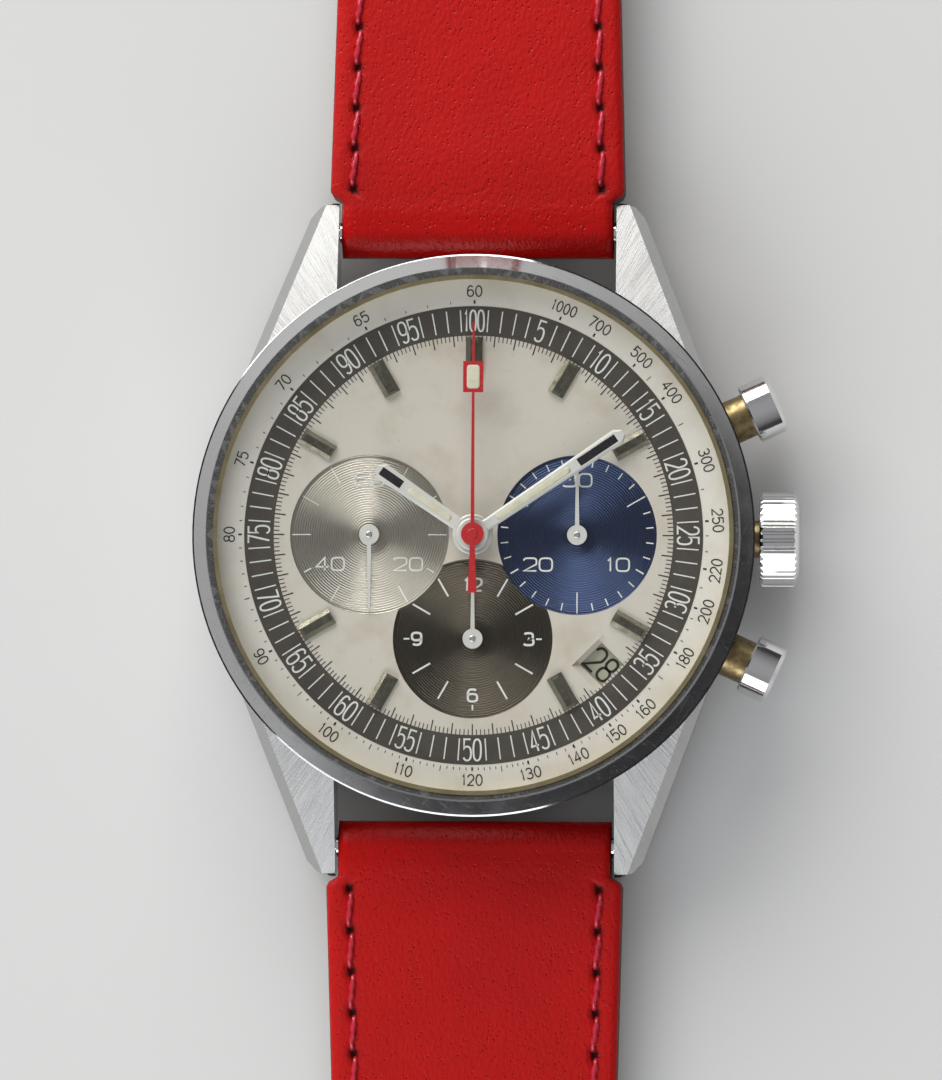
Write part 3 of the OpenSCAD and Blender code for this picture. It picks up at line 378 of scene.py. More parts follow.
world = bpy.data.worlds.new("studio")
bpy.context.scene.world = world
world.use_nodes = True
sky = world.node_tree
height = add(sky, "SeparateXYZ", Vector=add(sky, "TexCoord").outputs["Generated"]).outputs["Z"]
fade = add(sky, "ValToRGB", Fac=height)
horizon, zenith = fade.color_ramp.elements
horizon.position, horizon.color = 0.30, (0.04, 0.04, 0.043, 1)
zenith.position, zenith.color = 0.97, (0.34, 0.34, 0.35, 1)
feed(sky, sky.nodes["Background"], Color=fade.outputs["Color"], Strength=1.0)

# %% Camera
PHOTO_WIDTH, PX_PER_MM = 942, 14.82
SENSOR = 36.0
DISTANCE = 420.0
LEAN, SIDE, ROLL = [math.radians(a) for a in (3.0, 2.5, 0.3)]
AIM = Vector((-0.15, -0.34, 8.5))
away = Vector((math.sin(SIDE), -math.sin(LEAN), 1.0)).normalized()
lens = bpy.data.cameras.new("photo_camera")
lens.sensor_fit, lens.sensor_width = "HORIZONTAL", SENSOR
lens.lens = SENSOR * DISTANCE * PX_PER_MM / PHOTO_WIDTH
lens.clip_start, lens.clip_end = 0.01, 10.0
camera = new_object("photo_camera", lens)
camera.location = (AIM + away * DISTANCE) * MM
up = (Vector((0, 1, 0)) - away * away.y).normalized()
look = Matrix((up.cross(away), up, away)).transposed() @ Matrix.Rotation(ROLL, 3, "Z")
camera.rotation_euler = look.to_euler()
bpy.context.scene.camera = camera
bpy.context.scene.view_settings.view_transform = "Standard"
print("lens:", round(lens.lens, 1), "mm at", DISTANCE, "mm")

# %% [markdown]
# ## Metal, paint and plastic
# Steel on a watch is either polished or brushed. Polished steel is a mirror that years on
# a wrist have covered in hairlines. Brushed steel has lines: rays from the middle on the
# lugs, rings on the case back. Direction and distance from the middle become the coordinates
# of a stretched noise, which drives the roughness and a small bump. On the middle case only
# the faces that look up are brushed, and its flanks are polished, so the surface's own
# upward normal chooses between the two.

# %% Steel
def polished_steel(name, color=(0.80, 0.80, 0.80), base=0.10):
    """Mirror with hairlines and slow smudges."""
    m, tree, shader = finish(name, Base_Color=color, Metallic=1.0)
    lines = hairlines(tree, Cells=9000.0, Sparse=0.67)
    smudge = cloudy(tree, Cells=420.0, Low=0.35, High=0.75)
    feed(tree, shader, Roughness=calc(tree, "ADD", mix_value(tree, smudge, base, base + 0.035),
                                      calc(tree, "MULTIPLY", lines, 0.05)))
    bump(tree, shader, lines, 0.06, -1e-6)
    return m


RAYS, RINGS = (1.0, 1.0, 0.7), (0.012, 0.012, 45.0)


def brushed_steel(name, color, stretch, base):
    """Metal with lines as rays or rings, more mirror-like where it doesn't face up."""
    m, tree, shader = finish(name, Metallic=1.0)
    radius, direction = from_middle(tree, place(tree))
    angle = add(tree, "SeparateXYZ", Vector=direction).outputs
    polar = add(tree, "CombineXYZ", X=angle["X"], Y=angle["Y"], Z=radius).outputs["Vector"]
    lines = noise(tree, stretched(tree, polar, stretch), 420.0, 3.0, 0.65)
    face = add(tree, "SeparateXYZ", Vector=add(tree, "TexCoord").outputs["Normal"]).outputs["Z"]
    up = mask(tree, calc(tree, "ABSOLUTE", face), 0.80, 0.86)
    grain = mask(tree, lines, 0.3, 0.7, base - 0.06, base + 0.10)
    plain = mix_value(tree, cloudy(tree, Cells=300.0), 0.10, 0.18)
    feed(tree, shader, Roughness=mix_value(tree, up, plain, grain),
         Base_Color=blend_color(tree, mask(tree, lines, 0.35, 0.65), darker(color, 0.9), color))
    bump(tree, shader, calc(tree, "MULTIPLY", lines, up), 0.16, 3e-6)
    return m


POLISHED = polished_steel("polished_steel")
# Painted shade: the bezel's steel is darker than the other polished steel, so that it looks dark
BEZEL_PAINTED_DARK = polished_steel("bezel_steel_painted_dark", (0.46, 0.46, 0.465), 0.09)
BRUSHED = brushed_steel("brushed_case", (0.51, 0.51, 0.505), RAYS, 0.25)
BACK = brushed_steel("brushed_back", (0.70, 0.70, 0.70), RINGS, 0.22)

# %% [markdown]
# Brass, blued steel and rubber are the metals and seals of the movement. Brass that has
# sat under a crystal for decades is patchy, so a slow cloud mixes bright and brown.

# %% Movement metals and rubber
def tinted_metal(name, bright, dull, base, cells_per_m=520.0):
    """Metal between two tints, mixed by a slow cloud that also changes how sharp it mirrors."""
    m, tree, shader = finish(name, Metallic=1.0)
    patch = cloudy(tree, Cells=cells_per_m, Low=0.3, High=0.75)
    feed(tree, shader, Base_Color=blend_color(tree, patch, bright, dull),
         Roughness=mix_value(tree, patch, base, base + 0.22))
    bump(tree, shader, hairlines(tree, Cells=3000.0, Sparse=0.62), 0.2, -3e-6)
    return m


BRASS = tinted_metal("movement_brass", (0.76, 0.60, 0.30), (0.60, 0.45, 0.20), 0.22)
TUBE_BRASS = tinted_metal("tarnished_brass", (0.40, 0.31, 0.15), (0.12, 0.085, 0.045), 0.30, 1500.0)
AGED_BRASS = tinted_metal("aged_brass", (0.58, 0.50, 0.30), (0.33, 0.26, 0.13), 0.22)
MARKER_STEEL = tinted_metal("marker_steel", (0.30, 0.285, 0.23), (0.17, 0.16, 0.115), 0.34, 1500.0)
BLUED = tinted_metal("blued_steel", (0.08, 0.13, 0.36), (0.05, 0.08, 0.22), 0.18)
GILT = tinted_metal("gilt_plate", (0.78, 0.66, 0.42), (0.70, 0.57, 0.33), 0.3)

RUBBER, tree, shader = finish("seal_rubber", Roughness=0.6)
feed(tree, shader, Base_Color=blend_color(tree, cloudy(tree, Cells=900.0),
                                          (0.015, 0.015, 0.016), (0.035, 0.034, 0.033)))

# %% [markdown]
# The crystal is acrylic, which scratches more than mineral glass. Its index is set below the
# real 1.49, as if it were coated, so that a lamp's glare leaves the dial readable from the
# side. Lamps would throw a black shadow through glass, so shadow rays pass through it
# freely. Rays that already left the dial pass freely too: bent as well, they would light
# the dial twice.

# %% Crystal
CRYSTAL, tree, shader = finish("acrylic_crystal", Base_Color=(1, 1, 1), Roughness=0.0, IOR=1.33,
                               Transmission_Weight=1.0)
bump(tree, shader, hairlines(tree, Cells=1100.0, Sparse=0.70), 0.12, -2e-6)
clear = add(tree, "BsdfTransparent", Color=(0.97, 0.97, 0.96, 1))
choose = add(tree, "MixShader")
path = add(tree, "LightPath").outputs
freely = [path[f"Is {kind} Ray"] for kind in ("Diffuse", "Glossy", "Shadow")]
for socket, value in zip(choose.inputs, (calc(tree, "MAXIMUM", *freely), shader.outputs[0],
                                         clear.outputs[0])):
    put(tree, socket, value)
feed(tree, tree.nodes["Material Output"], Surface=choose.outputs[0])

# %% [markdown]
# The dial is matt silver-cream paint with the faint brown blooms and specks of age. Outside the
# printed ring it is paler, partly as a paler paint and partly as painted light that stands in for
# the crystal's reflection on that band and lifts the bezel's shade there, so the distance from the
# middle chooses between two paints. Ink, lume and lacquer are thin layers on it, each with a
# little unevenness of its own.

# %% Paint, ink and lume
def tooth(tree, shader, relief):
    """Fine relief of a painted surface."""
    bump(tree, shader, noise(tree, place(tree), 16000.0, 2.0), relief, 4e-6)


def paint(name, color, aged, roughness, cells=260.0, low=0.52, high=0.85, relief=0.0, **plain):
    """Painted surface: its colour turns to an aged one in soft blooms, with a fine tooth."""
    m, tree, shader = finish(name, **plain)
    bloom = cloudy(tree, Cells=cells, Low=low, High=high)
    feed(tree, shader, Base_Color=blend_color(tree, bloom, color, aged),
         Roughness=mix_value(tree, bloom, roughness, min(1.0, roughness + 0.12)))
    if relief:
        tooth(tree, shader, relief)
    return m


DIAL_PAINT, tree, shader = finish("dial_paint")
bloom = cloudy(tree, Cells=260.0, Low=0.50, High=0.85)
specks = cloudy(tree, Cells=1700.0, Low=0.66, High=0.74)
aged = calc(tree, "MAXIMUM", bloom, calc(tree, "MULTIPLY", specks, 0.5))
# Painted light: the band outside the printed ring is paler, partly for the crystal's reflection and
# the bezel's shade
rim = mask(tree, from_middle(tree, place(tree))[0], 0.0152, 0.0154)
field = blend_color(tree, aged, (0.67, 0.635, 0.565), (0.53, 0.46, 0.36))
band = blend_color(tree, aged, (0.82, 0.80, 0.745), (0.69, 0.645, 0.56))
feed(tree, shader, Base_Color=blend_color(tree, rim, field, band),
     Roughness=mix_value(tree, bloom, 0.40, 0.52))
tooth(tree, shader, 0.25)

RING_INK = paint("ring_ink", (0.062, 0.054, 0.047), (0.085, 0.075, 0.062), 0.42, 500.0, 0.4, 0.8)
BLACK_INK = paint("black_ink", (0.02, 0.016, 0.014), (0.045, 0.037, 0.03), 0.4, 900.0, 0.5, 0.9)
WHITE_INK = paint("white_ink", (0.80, 0.82, 0.79), (0.66, 0.67, 0.62), 0.4, 900.0, 0.45, 0.8)
LUME = paint("cream_lume", (0.72, 0.71, 0.56), (0.58, 0.55, 0.38), 0.7, 1500.0, 0.4, 0.8, 0.6)
HAND_PAINT = paint("hand_paint", (0.72, 0.73, 0.70), (0.60, 0.61, 0.56), 0.30, 900.0, 0.5, 0.9,
                   Metallic=0.1)
BLACK_INLAY = paint("black_inlay", (0.012, 0.010, 0.014), (0.03, 0.026, 0.03), 0.2, 1500.0)
MARKER_DARK = paint("marker_dark", (0.040, 0.038, 0.028), (0.10, 0.095, 0.070), 0.45, 2600.0,
                    0.4, 0.75, 0.6)
RED_LACQUER = paint("red_lacquer", (0.52, 0.012, 0.018), (0.40, 0.010, 0.014), 0.25, 800.0,
                    Coat_Weight=0.4)
DATE_PAINT = paint("date_paint", (0.46, 0.47, 0.36), (0.40, 0.40, 0.30), 0.5, 700.0)

# %% [markdown]
# ## Numbers made of strokes
# Dial numbers are printed with thin even lines, so each digit here is a set of strokes in a
# unit box, built from arcs and straight runs. One power squares the arcs off, which gives
# the wide boxy digits of the small dials from the same strokes. A stroke becomes a thin
# raised ribbon, as real pad printing is, closed all round.

# %% Digits
def squared(v, power):
    """A cosine or sine raised to a power with its sign kept."""
    return np.sign(v) * np.abs(v) ** power


def bow(x, y, rx, ry, start, end, q, n=16):
    """Superellipse arc: x + rx*cos^q, y + ry*sin^q, with angles in degrees."""
    t = np.radians(np.linspace(start, end, n))
    return np.stack([x + rx * squared(np.cos(t), q), y + ry * squared(np.sin(t), q)], 1)


def digit(d, q):
    """Strokes of one sign in a box of width 1 and height 1; q below 1 squares its arcs."""
    if d == "9":
        return [1 - stroke for stroke in digit("6", q)]
    if d == "6":
        return [bow(0.5, 0.5, 0.5, 0.5, 180, 48, q), bow(0.5, 0.31, 0.5, 0.31, 180, 540, q, 25)]
    if d == "8":
        return [bow(0.5, y, rx, ry, 90, 450, q, 25) for y, rx, ry in ((0.755, 0.44, 0.245),
                                                                     (0.26, 0.5, 0.26))]
    if d == "0":
        return [bow(0.5, 0.5, 0.5, 0.5, 90, 450, q, 33)]
    return [np.vstack({
        "1": [[(0.2, 0.8), (0.55, 1), (0.55, 0)]],
        "2": [bow(0.5, 0.7, 0.5, 0.3, 172, -28, q), [(0, 0), (1, 0)]],
        "3": [bow(0.47, 0.755, 0.46, 0.245, 155, -88, q),
              bow(0.47, 0.265, 0.53, 0.265, 88, -155, q)],
        "4": [[(1, 0.27), (0, 0.27), (0.7, 1), (0.7, 0)]],
        "5": [[(0.95, 1), (0.1, 1), (0.06, 0.56)], bow(0.48, 0.33, 0.52, 0.33, 128, -150, q)],
        "7": [[(0, 1), (1, 1), (0.36, 0)]],
    }[d])]


def number(text, height, width, gap, q=1.0):
    """Strokes of a number in millimetres around its middle; a 1 takes about half the width."""
    wide = [width * (0.55 if d == "1" else 1) for d in text]
    left = np.cumsum([0] + [w + gap for w in wide])[:-1]
    left = left - (sum(wide) + gap * (len(text) - 1)) / 2
    return [(stroke - (0, 0.5)) * (w, height) + (x, 0)
            for d, x, w in zip(text, left, wide) for stroke in digit(d, q)]


def on_ring(strokes, radius, clock):
    """Sets strokes upright on a ring: top outwards, or to the centre in the lower half."""
    out = turn(clock)
    along = np.array([out[1], -out[0]])
    side = -1 if 92 < clock % 360 < 268 else 1
    return [radius * out + side * (s[:, :1] * along + s[:, 1:] * out) for s in strokes]


def ticks(clocks, inner, outer):
    """Radial strokes from one radius to another at the given clock angles."""
    return [np.outer((inner, outer), turn(a)) for a in clocks]


# %% Ribbons of ink
SINK = 0.004


def ribbon(path, width, low, high):
    """Closed flat band: each point of a path moves half the width along its mitred normal."""
    closed = np.allclose(path[0], path[-1])
    if closed:
        path = path[:-1]
    step = unit(np.roll(path, -1, 0) - path)
    before = np.roll(step, 1, 0)
    if not closed:
        step[-1], before[0] = before[-1], step[0]
    normal = unit(np.stack([-(step + before)[:, 1], (step + before)[:, 0]], 1))
    cosine = (normal * np.stack([-step[:, 1], step[:, 0]], 1)).sum(1, keepdims=True)
    side = normal * width / 2 / np.maximum(cosine, 0.5)
    n = len(path)
    corners = np.stack([path - side, path + side, path + side, path - side], 1)
    points = np.dstack([corners, np.broadcast_to([high, high, low, low], (n, 4))]).reshape(-1, 3)
    if closed:
        return points, cells(n, 4, close_rows=True, close_columns=True)
    return points, np.vstack(tube(n, 4))


def ink(name, lines, z, body, slot, material, rise=0.014):
    """One piece from many (strokes, width) pairs, printed on the height z."""
    made = [ribbon(path, width, z - SINK, z + rise) for strokes, width in lines for path in strokes]
    start = np.cumsum([0] + [len(p) for p, _ in made])[:-1]
    return piece(name, np.vstack([p for p, _ in made]), [f + s for (_, f), s in zip(made, start)],
                 body, slot, material, smooth=False)


# %% [markdown]
# ## The printed dial
# From the rim inwards lie the tachymeter scale in black, a charcoal ring that divides the
# minute into a hundred, and a black track of fifths of a second. A number on the tachymeter
# stands where the hand is after 3600 / number seconds. In the upper half the numbers stand
# with their tops outwards, and in the lower half with their tops to the centre, so that
# none is upside down.

# %% Charcoal ring
DIAL_Z = top_of("dial")
RING_IN, RING_OUT, RING_Z = 13.3, 15.3, DIAL_Z + 0.012


def lathe(profile, n=192):
    """Carries a closed profile of (radius, height) points round the dial's axis in n steps."""
    profile = np.asarray(profile, float)
    a = circle(n)[:, None]
    points = np.dstack([np.cos(a) * profile[:, 0], np.sin(a) * profile[:, 0],
                        np.broadcast_to(profile[:, 1], (n, len(profile)))])
    return points.reshape(-1, 3), cells(n, len(profile), close_rows=True, close_columns=True)


points, faces = lathe([(RING_IN, DIAL_Z - SINK), (RING_OUT, DIAL_Z - SINK), (RING_OUT, RING_Z),
                       (RING_IN, RING_Z)])
piece("hundredths_ring", points, [faces], "case", "charcoal_disc", RING_INK, smooth=False)

lines = []
for part in range(1, 101):
    clock = part * 3.6
    if part % 5:
        lines.append((ticks([clock], 13.56, 15.04), 0.085))
    else:
        width, gap = (0.40, 0.13) if part == 100 else (0.50, 0.16)
        lines.append((on_ring(number(str(part), 1.42, width, gap, 0.8), 14.3, clock), 0.125))
ink("hundredths_print", lines, RING_Z, "case", "hand_white", WHITE_INK)

# %% Tachymeter and the track of fifths
SHOWN = [60, 65, 70, 75, 80, 90, 100, 110, 120, 130, 140, 150, 160, 180, 200, 220, 250, 300, 400,
         500, 700, 1000]
SPEED = 21600
lines = []
for n in SHOWN:
    width = 0.40 if n < 1000 else 0.34
    lines.append((on_ring(number(str(n), 0.72, width, 0.15), 16.32, SPEED / n), 0.085))
    lines.append((ticks([SPEED / n], 15.46, 15.70), 0.12))
steps = [*range(61, 131), *range(132, 160, 2), *range(165, 200, 5), *range(210, 250, 10), 275,
         350, 450]
half = [n for n in steps if n not in SHOWN and (n % 5 == 0 and n <= 130 or n in (170, 350, 450))]
small = [n for n in steps if n not in SHOWN + half]
for marks, outer in ((small, 15.66), (half, 15.86)):
    lines.append((ticks([SPEED / n for n in marks], 15.48, outer), 0.05))
ink("tachymeter_print", lines, DIAL_Z, "case", "dial_cream", BLACK_INK)

fifths = np.arange(300) * 1.2
over_window = np.abs(fifths - 135) < 7.3
whole = np.arange(300) % 5 == 0
lines = [(ticks(fifths[chosen], inner, RING_IN), width) for chosen, inner, width in (
    (~whole & ~over_window, 12.93, 0.055), (whole & ~over_window, 12.58, 0.075),
    (over_window, 13.15, 0.055))]
ink("fifths_track", lines, DIAL_Z, "case", "dial_cream", BLACK_INK)

# %% [markdown]
# ## Small dials
# Each small dial is a metal disc turned with fine circular grooves. They are real waves
# here, a sixth of a millimetre apart and some hundredths deep: light then spreads across
# the grooves only, and two bright fans appear by themselves. The lower disc is cut where
# the two upper ones lie over it, so its rim comes nearer there.

# %% Grooved discs
SUB_Z = top_of("seconds_subdial")
SUB_R, SUB_BORE, SUB_FLAT, SUB_T = 5.3, 0.32, 0.6, 0.15
GROOVE, DEPTH = 0.16, 0.0325
LEFT, RIGHT, LOW = np.array([-6.9, 0]), np.array([6.9, 0]), np.array([0, -6.9])


def disc_metal(name, color, base=0.32):
    """Turned metal disc under a thin tinted varnish."""
    m, tree, shader = finish(name, Metallic=1.0)
    cloud = cloudy(tree, Cells=350.0)
    feed(tree, shader, Base_Color=blend_color(tree, cloud, color, darker(color, 0.86)),
         Roughness=mix_value(tree, cloud, base, base + 0.02))
    return m


def grooved_disc(name, node, slot, centre, metal, cut_by=()):
    """Disc whose top falls as (1 - cos(2 pi r / pitch)) / 2 times a depth, out to a cut rim."""
    n, per_groove = 160, 7
    r = np.concatenate([[SUB_BORE], np.arange(0.66, SUB_R, GROOVE / per_groove), [SUB_R]])
    a = circle(n)
    limit = np.full(n, SUB_R)
    for other in cut_by:
        away = other - centre
        along = away[0] * np.cos(a) + away[1] * np.sin(a)
        inside = along ** 2 - away @ away + SUB_R ** 2
        near = along - np.sqrt(np.maximum(inside, 0)) - 0.01
        limit = np.where((inside > 0) & (along > 0), np.minimum(limit, near), limit)
    rr = np.minimum(r[:, None], limit[None, :])
    wave = np.where(rr < SUB_FLAT, 0, DEPTH * (1 - np.cos(2 * np.pi * rr / GROOVE)) / 2)
    top = np.dstack([centre[0] + rr * np.cos(a), centre[1] + rr * np.sin(a), SUB_Z - wave])
    under = top[[-1, 0]].copy()
    under[:, :, 2] = SUB_Z - SUB_T
    rows = np.concatenate([top, under])
    faces = cells(len(rows), n, close_rows=True, close_columns=True)
    a, b, c, d = np.moveaxis(rows.reshape(-1, 3)[faces], 1, 0)
    open_faces = np.linalg.norm(np.cross(c - a, d - b), axis=1) > 1e-9
    return piece(name, rows, [faces[open_faces]], "case", slot, metal, replaces=[node])


grooved_disc("seconds_disc", "seconds_subdial", "grey_disc", LEFT,
             disc_metal("silver_disc", (0.53, 0.50, 0.44)))
grooved_disc("minutes_disc", "minutes_subdial", "blue_disc", RIGHT,
             disc_metal("blue_disc", (0.056, 0.080, 0.165)))
grooved_disc("hours_disc", "hours_subdial", "charcoal_disc", LOW,
             disc_metal("charcoal_disc", (0.102, 0.088, 0.069)), (LEFT, RIGHT))

# %% Print of the small dials
BOXY = dict(height=0.84, width=0.84, gap=0.2, q=0.55)
BOLD = dict(height=0.80, width=0.62, gap=0.18, q=0.7)


def every(step, without):
    """Clock angles a step apart, without the multiples of another step."""
    return [a for a in range(0, 360, step) if a % without]


def print_small_dial(name, centre, scales, numbers, style, width, dashes=()):
    """Ticks as (angles, inner, outer, width), numbers as (text, x, y), and dashes by a number."""
    lines = [(ticks(clocks, inner, outer), w) for clocks, inner, outer, w in scales]
    lines += [([s + (x, y) for s in number(text, **style)], width) for text, x, y in numbers]
    lines += [([np.array(dash)], 0.11) for dash in dashes]
    ink(name, [([s + centre for s in strokes], w) for strokes, w in lines], SUB_Z, "case",
        "hand_white", WHITE_INK)


print_small_dial("seconds_print", LEFT, [(every(30, 120), 3.9, 5.15, 0.07),
                                         ([120, 240], 4.45, 5.0, 0.09)],
                 [("60", 0, 3.65), ("20", 2.6, -1.95), ("40", -2.6, -1.95)], BOXY, 0.115)
print_small_dial("minutes_print", RIGHT, [(every(12, 60), 4.6, 5.1, 0.08),
                                          ([60, 180, 300], 3.8, 5.2, 0.085),
                                          ([0, 120, 240], 4.5, 5.1, 0.1)],
                 [("30", 0, 3.65), ("10", 2.7, -1.95), ("20", -2.6, -1.95)], BOXY, 0.115)
print_small_dial("hours_print", LOW, [(every(30, 90), 3.25, 4.6, 0.12)],
                 [("12", 0, 3.6), ("3", 3.72, 0), ("6", 0, -3.75), ("9", -3.72, 0)], BOLD, 0.15,
                 [((4.2, 0), (4.58, 0)), ((-4.58, 0), (-4.2, 0)), ((0, -4.74), (0, -4.38))])

# %% [markdown]
# ## Hands, markers and date
# The hour and minute hands are batons that widen to a cut tip. Their faces are stamped with
# bevelled edges, so each is a section with bevels carried along the hand, and a ring for
# its hub. A hollow near the tip holds a black inlay, and one nearer the centre holds cream
# lume. The thin hands of the model have the right shape already and only get paint.

# %% Batons
def along_hand(points, clock):
    """Turns points whose y runs along a hand to that hand's clock angle."""
    out = turn(clock)
    side = np.array([out[1], -out[0]])
    flat = points[..., :1] * side + points[..., 1:2] * out
    return np.concatenate([flat, points[..., 2:]], -1)


BEVEL = np.array([(-1, 0), (-1, 0.5), (-0.93, 0.72), (-0.7, 1), (0, 1), (0.7, 1), (0.93, 0.72),
                  (1, 0.5), (1, 0)])
HUB = 0.35


def baton(name, node, length, narrow, wide, bore, clock, body):
    """Bevelled section scaled by a half width that grows along the hand, and a hub ring."""
    low, high = [c[2] for c in node_box(node)]
    thick = high - low
    y = np.concatenate([np.linspace(bore + 0.29, length - 0.45, 14),
                        np.linspace(length - 0.3, length, 3)])
    half = np.interp(y, [0, length - 0.45, length], [narrow / 2, wide / 2, wide / 5])
    n, m = len(y), len(BEVEL)
    section = np.dstack([half[:, None] * BEVEL[:, 0], np.repeat(y[:, None], m, 1),
                         np.tile(low + thick * BEVEL[:, 1], (n, 1))])
    arm, ends = tube(n, m)
    ring, ring_faces = lathe([(bore, low), (bore + HUB, low), (bore + HUB, low + 0.6 * thick),
                              (bore + 0.27, high), (bore + 0.06, high),
                              (bore, low + 0.7 * thick)], n=64)
    points = np.vstack([along_hand(section, clock).reshape(-1, 3), ring])
    return piece(name, points, [arm[:, ::-1], ends[:, ::-1], ring_faces + n * m], body,
                 "hand_white", HAND_PAINT, smooth=False, replaces=[node])


def pad(name, start, end, half, z, clock, body, slot, material, corner, rise):
    """Low cushion on a rounded rectangle: its outline shrinks as it rises."""
    corner = min(corner, half * 0.98)
    a = np.radians(np.arange(0, 360, 15) + 7.5)
    middle = np.array([0, (start + end) / 2])
    core = np.array([half - corner, (end - start) / 2 - corner])
    round_corner = np.stack([np.cos(a), np.sin(a)], 1)
    shrink = np.array([1, 1, 0.91, 0.725])[:, None, None]
    lift = np.array([-0.02, rise * 0.35, rise * 0.8, rise])[:, None, None]
    outline = middle + (np.sign(round_corner) * core + corner * round_corner) * shrink
    grid = np.concatenate([outline, np.broadcast_to(z + lift, outline.shape[:2] + (1,))], 2)
    wall, caps = tube(4, len(a))
    return piece(name, along_hand(grid, clock), [wall[:, ::-1], caps], body, slot, material)


def lume(name, start, end, half, z, clock, body, corner=0.2, rise=0.03):
    """Cream cushion with round ends."""
    pad(name, start, end, half, z, clock, body, "hand_white", LUME, corner, rise)


def inlay(name, start, end, half, z, clock, body, material=BLACK_INLAY, rise=0.012):
    """Flat dark pad with sharp corners."""
    pad(name, start, end, half, z, clock, body, "charcoal_disc", material, 0.04, rise)


CANNON, PIPE = 0.72, 0.99
HOUR_CLOCK, MINUTE_CLOCK = 304.65, 55.8
HOUR_Z, MINUTE_Z, CHRONO_Z = map(top_of, ("hour_hand", "minute_hand", "chrono_seconds_hand"))
baton("hour_baton", "hour_hand", 7.8, 0.85, 1.15, PIPE, HOUR_CLOCK, "hour_train")
baton("minute_baton", "minute_hand", 12.1, 0.75, 1.1, CANNON, MINUTE_CLOCK, "minute_train")
lume("hour_lume", 1.75, 5.2, 0.21, HOUR_Z, HOUR_CLOCK, "hour_train")
inlay("hour_inlay", 5.75, 7.45, 0.29, HOUR_Z, HOUR_CLOCK, "hour_train")
lume("minute_lume", 1.9, 7.8, 0.21, MINUTE_Z, MINUTE_CLOCK, "minute_train")
inlay("minute_inlay", 8.5, 11.5, 0.28, MINUTE_Z, MINUTE_CLOCK, "minute_train")
lume("chrono_lume", 9.7, 11.3, 0.43, CHRONO_Z, 0, "chrono_train", 0.22, 0.035)

# %% Pin heads, marker inlays
def pin_head(name, centre, node, radius, body, slot, material, rise):
    """Turned button on a hand: a straight wall and a dome that follows a quarter circle."""
    z = top_of(node)
    t = np.radians(np.linspace(0, 80, 6))
    r = np.concatenate([[radius], radius * np.cos(t)])
    h = np.concatenate([[z - 0.02], z + rise * (0.35 + 0.65 * np.sin(t))])
    n, m = 32, len(r)
    a = circle(n)[:, None]
    grid = np.dstack([centre[0] + r * np.cos(a), centre[1] + r * np.sin(a),
                      np.broadcast_to(h, (n, m))])
    caps = np.array([np.arange(n)[::-1] * m, np.arange(n) * m + m - 1])
    return piece(name, grid, [cells(n, m, close_rows=True), caps], body, slot, material)


pin_head("chrono_pin", (0, 0), "chrono_seconds_hand", 0.36, "chrono_train", "hand_red",
         RED_LACQUER, 0.07)
for name, node, centre, body in (("seconds_pin", "running_seconds_hand", LEFT, "seconds_train"),
                                 ("minutes_pin", "minute_counter_hand", RIGHT, "minute_counter"),
                                 ("hours_pin", "hour_counter_hand", LOW, "hour_counter")):
    pin_head(name, centre, node, 0.21, body, "polished_steel", POLISHED, 0.09)

for hour in (1, 2, 4, 5, 7, 8, 10, 11, 12):
    inlay(f"marker_inlay_{hour}", 10.95, 13.05, 0.25, top_of("hour_markers"), 30 * hour, "case",
          MARKER_DARK, 0.01)

# %% Date
WINDOW_CLOCK, TODAY, DATE_R = 135, 28, 12.1
lines = []
for day in range(1, 32):
    out = turn(WINDOW_CLOCK - (day - TODAY) * 360 / 31)
    over = np.array([-out[1], out[0]])
    strokes = number(str(day), 1.66, 0.80, 0.25, 0.85)
    lines.append(([DATE_R * out + s[:, :1] * out + s[:, 1:] * over for s in strokes], 0.18))
ink("date_print", lines, top_of("date_disc"), "date_ring", "date_white", BLACK_INK, 0.01)

# %% [markdown]
# ## Leather strap
# Each half is leather wrapped round a spring bar, folded flat and sewn along both edges.
# The side view gives a top line and an under line. Across, the surface falls off to the
# edges in a quarter circle, sinks into a shallow groove where the seam runs, and dips at
# every stitch hole. All of it is one grid of sections along the half: the columns lie where
# the shape changes, and the rows follow each other closely enough for the holes.

# %% Leather finishes
def leather(name, bright, dark, base, cells_per_m, relief, index):
    """Skin with pebbles that pores and clouds darken, with painted shade round the stitch holes;
    pores and the worn fold shine.
    """
    m, tree, shader = finish(name, IOR=index)
    skin = use(tree, LEATHER_GRAIN, Cells=cells_per_m)
    cloud = cloudy(tree, Cells=110.0, Low=0.3, High=0.75)
    pits = calc(tree, "MULTIPLY", skin["Pores"], 0.6)
    shade = calc(tree, "MAXIMUM", pits, calc(tree, "MULTIPLY", cloud, 0.35))
    skin_color = blend_color(tree, shade, bright, dark)
    shiny = calc(tree, "MAXIMUM", mask(tree, skin["Pores"], 0.0, 0.6), attribute(tree, "worn"))
    # Painted shade: the 'hole' number of each point turns the leather near-black round the stitch
    # holes
    feed(tree, shader, Roughness=mix_value(tree, shiny, base, base - 0.30),
         Base_Color=blend_color(tree, attribute(tree, "hole"), skin_color, darker(dark, 0.12)))
    bump(tree, shader, calc(tree, "SUBTRACT", skin["Height"], pits), relief, 6e-5)
    return m


RED_LEATHER = leather("red_calf", (0.53, 0.004, 0.003), (0.28, 0.002, 0.002), 0.52, 4300.0, 0.85,
                      1.30)
LINING = leather("tan_lining", (0.46, 0.29, 0.16), (0.33, 0.19, 0.10), 0.70, 2600.0, 0.35, 1.30)
EDGE_PAINT = paint("edge_paint", (0.022, 0.012, 0.012), (0.06, 0.022, 0.018), 0.5, 700.0, 0.45,
                   0.8, 0.5)
THREAD = paint("waxed_thread", (0.62, 0.020, 0.050), (0.42, 0.010, 0.022), 0.32, 3500.0, 0.35, 0.7,
               0.8, Coat_Weight=0.5)

